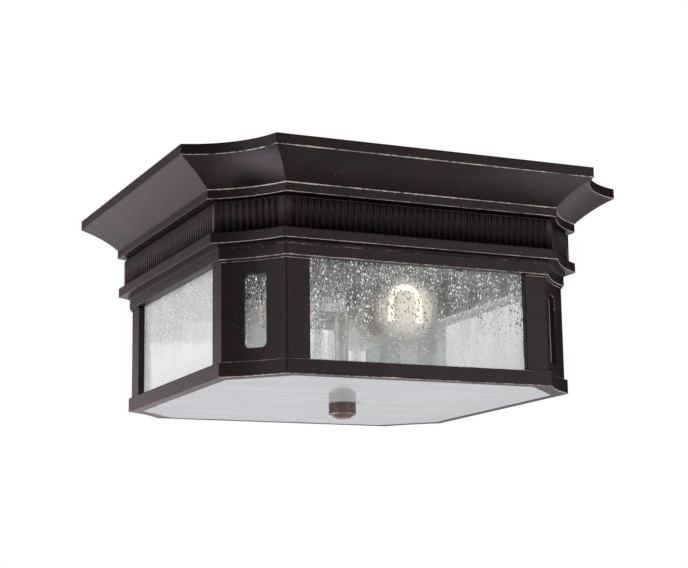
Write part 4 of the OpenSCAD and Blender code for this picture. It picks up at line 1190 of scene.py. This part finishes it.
class MakeFinial(bpy.types.Operator):
    """Finial: a plain round knob with a bevelled end, bored for the stem and washer"""
    bl_idname = "porch.finial"
    bl_label = "Finial"

    def execute(self, context):
        s = context.scene.porch_metal
        low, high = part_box("finial")[0].z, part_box("finial")[1].z
        bore, washer, nose = 5.05 * MM, 7.8 * MM, 5.1 * MM
        seat, deep = high - 0.8 * MM, high - 8.8 * MM
        points = [(washer, high), (s.finial_r, high), (s.finial_r, low + 3 * MM), (nose, low),
                  (POLE, low), (POLE, deep), (bore, deep), (bore, seat), (washer, seat)]
        profile, level = softened(points, [0.2 * MM, 0.5 * MM, 0.5 * MM, 0.5 * MM]
                                  + [0, 0, 0, 0, 0])
        make_piece("finial_knob", [turned(profile, level * 0.8, sides=128)],
                   finish("warm_bronze"), "finial", ["finial"])
        return {"FINISHED"}


# Where a screw cap's side starts and ends, from the globe's centre. They aren't properties,
# which are rounded, because the cap's nose just meets the lamp's end contact.
CAP_START, CAP_END = 52 * MM, 72 * MM


class MakeLamps(bpy.types.Operator):
    """Lamps: blown globes drawn in to their necks, and threaded screw caps"""
    bl_idname = "porch.lamps"
    bl_label = "Lamps"

    def execute(self, context):
        s = context.scene.porch_lamps
        for side, sign, axis in (("right", 1, "y"), ("left", -1, "-y")):
            place = (s.side * sign, -s.ahead * sign, -s.drop)
            body = "lamp_" + side
            self.filament(s, side, sign, place)
            make_piece("glass_stem_" + side, [self.glass_stem(place, axis)],
                       finish("clear_glass"), body)
            make_piece("globe_" + side, [self.globe(s, place, axis)], finish("lamp_glass"),
                       body, ["lamp_globe_" + side])
            make_piece("screw_cap_" + side, [self.screw_cap(s, place, axis)],
                       finish("brass"), body, ["lamp_cap_" + side])
        return {"FINISHED"}

    @staticmethod
    def globe(s, place, axis):
        """A ball R (sin a, -cos a), drawn in along a bent() curve to its neck, and the same
        again inside it."""
        angle = np.linspace(0.002, np.pi - s.globe_lean, 40)
        ball = np.stack([np.sin(angle), -np.cos(angle)], 1)
        t = np.linspace(0, 1, 16)[1:, None]

        def skin(inset):
            """One side of the glass, this far inside the outer one."""
            r, neck = s.globe_r - inset, s.neck_r - inset
            draw = bent(ball[-1] * r, np.array([neck, 34 * MM]), np.array([neck, 46 * MM]), t)
            return np.concatenate([ball * r, draw, [[neck, CAP_START]]])

        profile = np.concatenate([skin(0.0), skin(s.glass_wall)[::-1]])
        return turned(profile, 0 * profile[:, 0], place, 72, axis)

    @staticmethod
    def screw_cap(s, place, axis):
        """A cup closed by a cone, with a thread that dips by d (1 - cos) round its side,
        where 2 d is the thread's depth."""
        start, end, half_deep = CAP_START, CAP_END, 0.38 * MM
        side = np.linspace(start + 0.6 * MM, end - 0.6 * MM, 64)
        crest = np.stack([np.full(64, s.cap_r), side], 1)
        skirt, shoulder, tip = 12.3 * MM, 12.1 * MM, 4.5 * MM
        nose, base = end + 4 * MM, end - 2 * MM
        points = np.concatenate([
            [(skirt, start), (s.cap_r, start)], crest,
            [(s.cap_r, end), (shoulder, end), (tip, nose), (POLE, nose), (POLE, base),
             (skirt, base)]])

        def thread(a, h, r):
            """Depth of the thread, which fades out at both ends."""
            lead = h / s.thread - a / (2 * np.pi)
            within = np.minimum(h - start, end - h) - 0.4 * MM
            fade = np.clip(within / (1.2 * MM), 0, 1)
            on = (r > s.cap_r - 0.05 * MM) & (within > 0)
            return np.where(on, -half_deep * fade * (1 - np.cos(2 * np.pi * lead)), 0)

        return turned(points, 0 * points[:, 0], place, 72, axis, thread)

    @staticmethod
    def glass_stem(place, axis):
        """The glass stem that holds the wires: a slim cone that flares into the cap."""
        points = np.array([(POLE / MM, 31), (3.2, 32), (3.6, 42), (5, 70), (POLE / MM, 70)]) * MM
        stem, level = softened(points, [0, 1 * MM, 2 * MM, 0.4 * MM, 0])
        return turned(stem, 0 * level, place, 40, axis)

    @staticmethod
    def filament(s, side, sign, place):
        """The glowing arch: up one leg, round the half circle R (cos a, sin a) and down the
        other leg, thicker at both feet; and the two wires that carry it."""

        def out_of_lamp(p):
            """From across, up and along the lamp to the scene."""
            x, up, along = p[..., 0], p[..., 1], p[..., 2]
            return np.stack([x * sign, along * sign, up], -1) + np.asarray(place)

        around = np.linspace(0, 2 * np.pi, 20, endpoint=False)
        total = 2 * s.glow_leg + np.pi * s.glow_r
        run = np.linspace(0, total, 61)
        a = (np.clip(run - s.glow_leg, 0, np.pi * s.glow_r) / s.glow_r)[:, None]
        foot = np.minimum(run, total - run)[:, None]
        below = np.minimum(foot - s.glow_leg, 0)
        thick = s.glow_thick * (1 + 0.5 * np.exp(-(foot / (3 * MM)) ** 2))
        r = thick * np.clip(foot / (0.6 * MM), 0.3, 1)
        tube = np.stack([s.glow_r * np.cos(a) + r * np.cos(around) * np.cos(a),
                         s.glow_up + s.glow_r * np.sin(a) + below
                         + r * np.cos(around) * np.sin(a),
                         r * np.sin(around)[None, :]], -1)
        body = "lamp_" + side
        make_piece("glowing_arch_" + side, [capped(out_of_lamp(tube))],
                   finish("filament_glow"), body, ["lamp_filament_" + side])
        t = np.linspace(0, 1, 12)[:, None, None]
        wire_r = 0.6 * MM
        ring = wire_r * np.stack([np.cos(around), np.sin(around), 0 * around], -1)[None]
        wires = []
        for hand in (-1, 1):
            start = np.array([hand * s.glow_r, s.glow_up - s.glow_leg, 0])
            end = np.array([hand * 2 * MM, 0, 36 * MM])
            wires.append(capped(out_of_lamp(start + (end - start) * t + ring)))
        make_piece("lead_in_wires_" + side, wires, finish("zinc_plate"), body)


NODE_FINISHES = {
    "seeded_glass": ["right_pane", "rear_pane", "left_pane", "front_pane"],
    "slot_glass": ["corner_glass_rear_right", "corner_glass_rear_left",
                   "corner_glass_front_left", "corner_glass_front_right"],
    "bottom_glass": ["bottom_glass"],
    "white_enamel": ["reflector_pan"],
    "zinc_plate": ["pane_clips", "clip_screws", "body_screws", "post_screws_top",
                   "post_screws_bottom", "centre_stem", "stem_nuts", "stem_lock_washer",
                   "mounting_strap", "strap_studs", "stud_nuts", "socket_bracket_right",
                   "socket_bracket_left", "bracket_screws", "socket_screws",
                   "lamp_tip_right", "lamp_tip_left"],
    "dark_bronze": ["cap_nuts"],
    "brass": ["socket_shell_right", "socket_shell_left", "socket_contact_right",
              "socket_contact_left"],
    "porcelain": ["socket_body_right", "socket_body_left"],
    "rubber": ["rim_gasket", "glass_washer", "lead_grommets"],
    "foam": ["ceiling_gasket"],
    "black_insulation": ["black_leads"],
    "white_insulation": ["white_leads"],
    "green_insulation": ["ground_lead"],
    "green_paint": ["ground_screws"],
    "connector_shell": ["wire_connectors"],
}


class DressKeptParts(bpy.types.Operator):
    """Kept parts: glass, pan, lampholders, screws, leads and gaskets get their finishes"""
    bl_idname = "porch.dress"
    bl_label = "Glass and inner parts"

    def execute(self, context):
        shown = {n for n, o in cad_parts.items() if not o.hide_render}
        listed = {n for names in NODE_FINISHES.values() for n in names}
        if shown != listed:
            raise RuntimeError("parts without a finish, or gone: %s" % sorted(shown ^ listed))
        for name, nodes in NODE_FINISHES.items():
            for node in nodes:
                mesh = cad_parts[node].data
                mesh.materials.clear()
                mesh.materials.append(finish(name))
        return {"FINISHED"}


def rays_that_look(f):
    """The camera's own rays, those that come through glass, and reflections."""
    return [f.node("ShaderNodeLightPath", out="Is %s Ray" % kind)
            for kind in ("Camera", "Transmission", "Glossy")]


WHITE, MAUVE = (1.0, 1.0, 1.0), (1.0, 0.87, 0.95)
CAGE_MIDDLE = (0, 0, -0.08)

# Name, place and size in metres, power in watts and colour
LIGHTS = (("back_low", (-0.1, 1.15, -0.75), (0.9, 0.7), 1.9, MAUVE),
          ("under_left", (-0.53, 0.55, -1.15), (0.36, 0.38), 5.4, MAUVE),
          ("under_right", (0.75, 0.1, -1.1), (0.5, 1.0), 3.2, WHITE),
          ("left", (-1.3, 0.1, 0.05), (1.3, 1.0), 5.4, WHITE),
          ("front_right", (0.7, -1.3, 0.05), (0.8, 0.6), 3.4, WHITE),
          ("back_left", (-0.6, 1.25, 0.25), (0.7, 0.5), 0.36, MAUVE),
          ("back_left_low", (-0.6, 1.25, -0.02), (0.7, 0.25), 0.66, MAUVE))


class SetStage(bpy.types.Operator):
    """Stage: pale floor far below, white surroundings, soft lights and the camera"""
    bl_idname = "porch.stage"
    bl_label = "Stage and camera"

    def execute(self, context):
        v = context.scene.porch_view
        self.floor(v)
        self.surroundings(context)
        for name, place, size, power, tone in LIGHTS:
            self.light(name, place, size, power, tone)
        self.camera(context, v)
        return {"FINISHED"}

    @staticmethod
    def floor(v):
        """A pale sheet, very slightly waved: z = -drop - 0.002 cos(x) cos(y)."""
        t = np.linspace(-6, 6, 25)
        x, y = np.meshgrid(t, t, indexing="ij")
        z = -v.floor_drop - 0.002 * np.cos(x) * np.cos(y)
        points, _, quads = grid(np.stack([x, y, z], -1), 0.0, False, False)
        mesh = bpy.data.meshes.new("floor")
        mesh.from_pydata(points, [], quads)
        sheet = bpy.data.objects.new("floor", mesh)
        bpy.context.scene.collection.objects.link(sheet)
        f = Finish(bpy.data.materials.new("pale_floor"))
        camera, through, gloss = rays_that_look(f)
        pale_grey = f.blend((0.78, 0.78, 0.78), (0.74, 0.74, 0.74), f.noise(8, 3))
        matt = f.node("ShaderNodeBsdfDiffuse", {"Color": pale_grey})
        pale, dull = [f.node("ShaderNodeEmission", {"Color": WHITE, "Strength": strength})
                      for strength in (1.0, 0.3)]
        mixed = f.mixed(camera.largest(through), f.mixed(gloss, matt, dull), pale)
        f.node("ShaderNodeOutputMaterial", {"Surface": mixed})
        mesh.materials.append(f.owner)

    @staticmethod
    def surroundings(context):
        """White to the camera and through glass. Reflections see white below the object and
        a dim room above it, and as a light it is grey."""
        world = bpy.data.worlds.new("studio")
        context.scene.world = world
        f = Finish(world)
        way = f.channel(f.node("ShaderNodeTexCoord", out="Generated"), "Z")
        below = (-1 * way).between(-0.12, 0.30)
        camera, through, gloss = rays_that_look(f)
        grey, dim, white, sheen = [
            f.node("ShaderNodeBackground", {"Color": colour, "Strength": strength})
            for colour, strength in ((WHITE, 0.30), (WHITE, 0.05), (WHITE, 1.0),
                                     ((1.0, 0.93, 0.965), 1.0))]
        shone = f.mixed(gloss, grey, f.mixed(below, dim, sheen))
        f.node("ShaderNodeOutputWorld", {"Surface": f.mixed(camera.largest(through), shone,
                                                            white)})

    @staticmethod
    def light(name, place, size, power, tone):
        """A soft rectangular light that faces the middle of the cage."""
        lamp = bpy.data.lights.new(name, "AREA")
        lamp.shape = "RECTANGLE"
        lamp.size, lamp.size_y = size
        lamp.energy = power
        lamp.color = tone
        holder = bpy.data.objects.new(name, lamp)
        way = np.array(CAGE_MIDDLE) - np.array(place)
        holder.matrix_world = looking(place, -way / np.linalg.norm(way), 0.0)
        bpy.context.scene.collection.objects.link(holder)
        holder.visible_camera = False

    @staticmethod
    def camera(context, v):
        """The camera on its sphere about the target."""
        back = np.array([math.sin(v.turn) * math.cos(v.rise),
                         -math.cos(v.turn) * math.cos(v.rise), math.sin(v.rise)])
        data = bpy.data.cameras.new("camera")
        data.sensor_width = 36
        data.lens = v.focal
        data.clip_end = 20
        holder = bpy.data.objects.new("camera", data)
        holder.matrix_world = looking(np.array(v.target) + back * v.distance, back, v.roll)
        bpy.context.scene.collection.objects.link(holder)
        context.scene.camera = holder


def looking(place, back, roll):
    """A camera's or light's matrix: its back, and its sides level apart from the roll."""
    right = np.cross((0, 0, 1), back)
    right /= np.linalg.norm(right)
    up = np.cross(back, right)
    side = math.cos(roll) * right + math.sin(roll) * up
    top = math.cos(roll) * up - math.sin(roll) * right
    rows = np.stack([side, top, back, np.asarray(place, float)], 1)
    return Matrix([list(r) for r in rows] + [[0, 0, 0, 1]])


class PorchPanel(bpy.types.Panel):
    """Lists the light's pieces, with their sizes and colours"""
    bl_idname = "VIEW3D_PT_porch_light"
    bl_label = "Porch light"
    bl_space_type = "VIEW_3D"
    bl_region_type = "UI"
    bl_category = "Porch light"

    def draw(self, context):
        scene = context.scene
        for maker in MAKERS_OF_PIECES:
            self.layout.operator(maker.bl_idname, text=maker.bl_label)
        for group in GROUPS:
            box = self.layout.box()
            owner = getattr(scene, group)
            for name in owner.__annotations__:
                box.prop(owner, name)


MAKERS_OF_PIECES = (MakeCornice, MakeFrieze, MakeRim, MakePosts, MakeFinial, MakeLamps,
                    DressKeptParts, SetStage)
GROUPS = {"porch_metal": MetalSizes, "porch_lamps": LampSizes, "porch_colours": Colours,
          "porch_view": ViewSizes}


def register():
    """Registers the classes and hangs the sizes and colours on the scene."""
    for cls in (*GROUPS.values(), *MAKERS_OF_PIECES, PorchPanel):
        bpy.utils.register_class(cls)
    for name, group in GROUPS.items():
        setattr(bpy.types.Scene, name, PointerProperty(type=group))


def unregister():
    """Takes it all away again."""
    for name in GROUPS:
        delattr(bpy.types.Scene, name)
    for cls in reversed((*GROUPS.values(), *MAKERS_OF_PIECES, PorchPanel)):
        bpy.utils.unregister_class(cls)


def main():
    """Builds the pieces in order."""
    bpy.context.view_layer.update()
    register()
    context = bpy.context
    context.scene.view_settings.view_transform = "Standard"
    for maker in MAKERS_OF_PIECES:
        group, name = maker.bl_idname.split(".")
        if getattr(getattr(bpy.ops, group), name)() != {"FINISHED"}:
            raise RuntimeError(maker.bl_label + " was not finished")


if __name__ == "__main__":
    main()
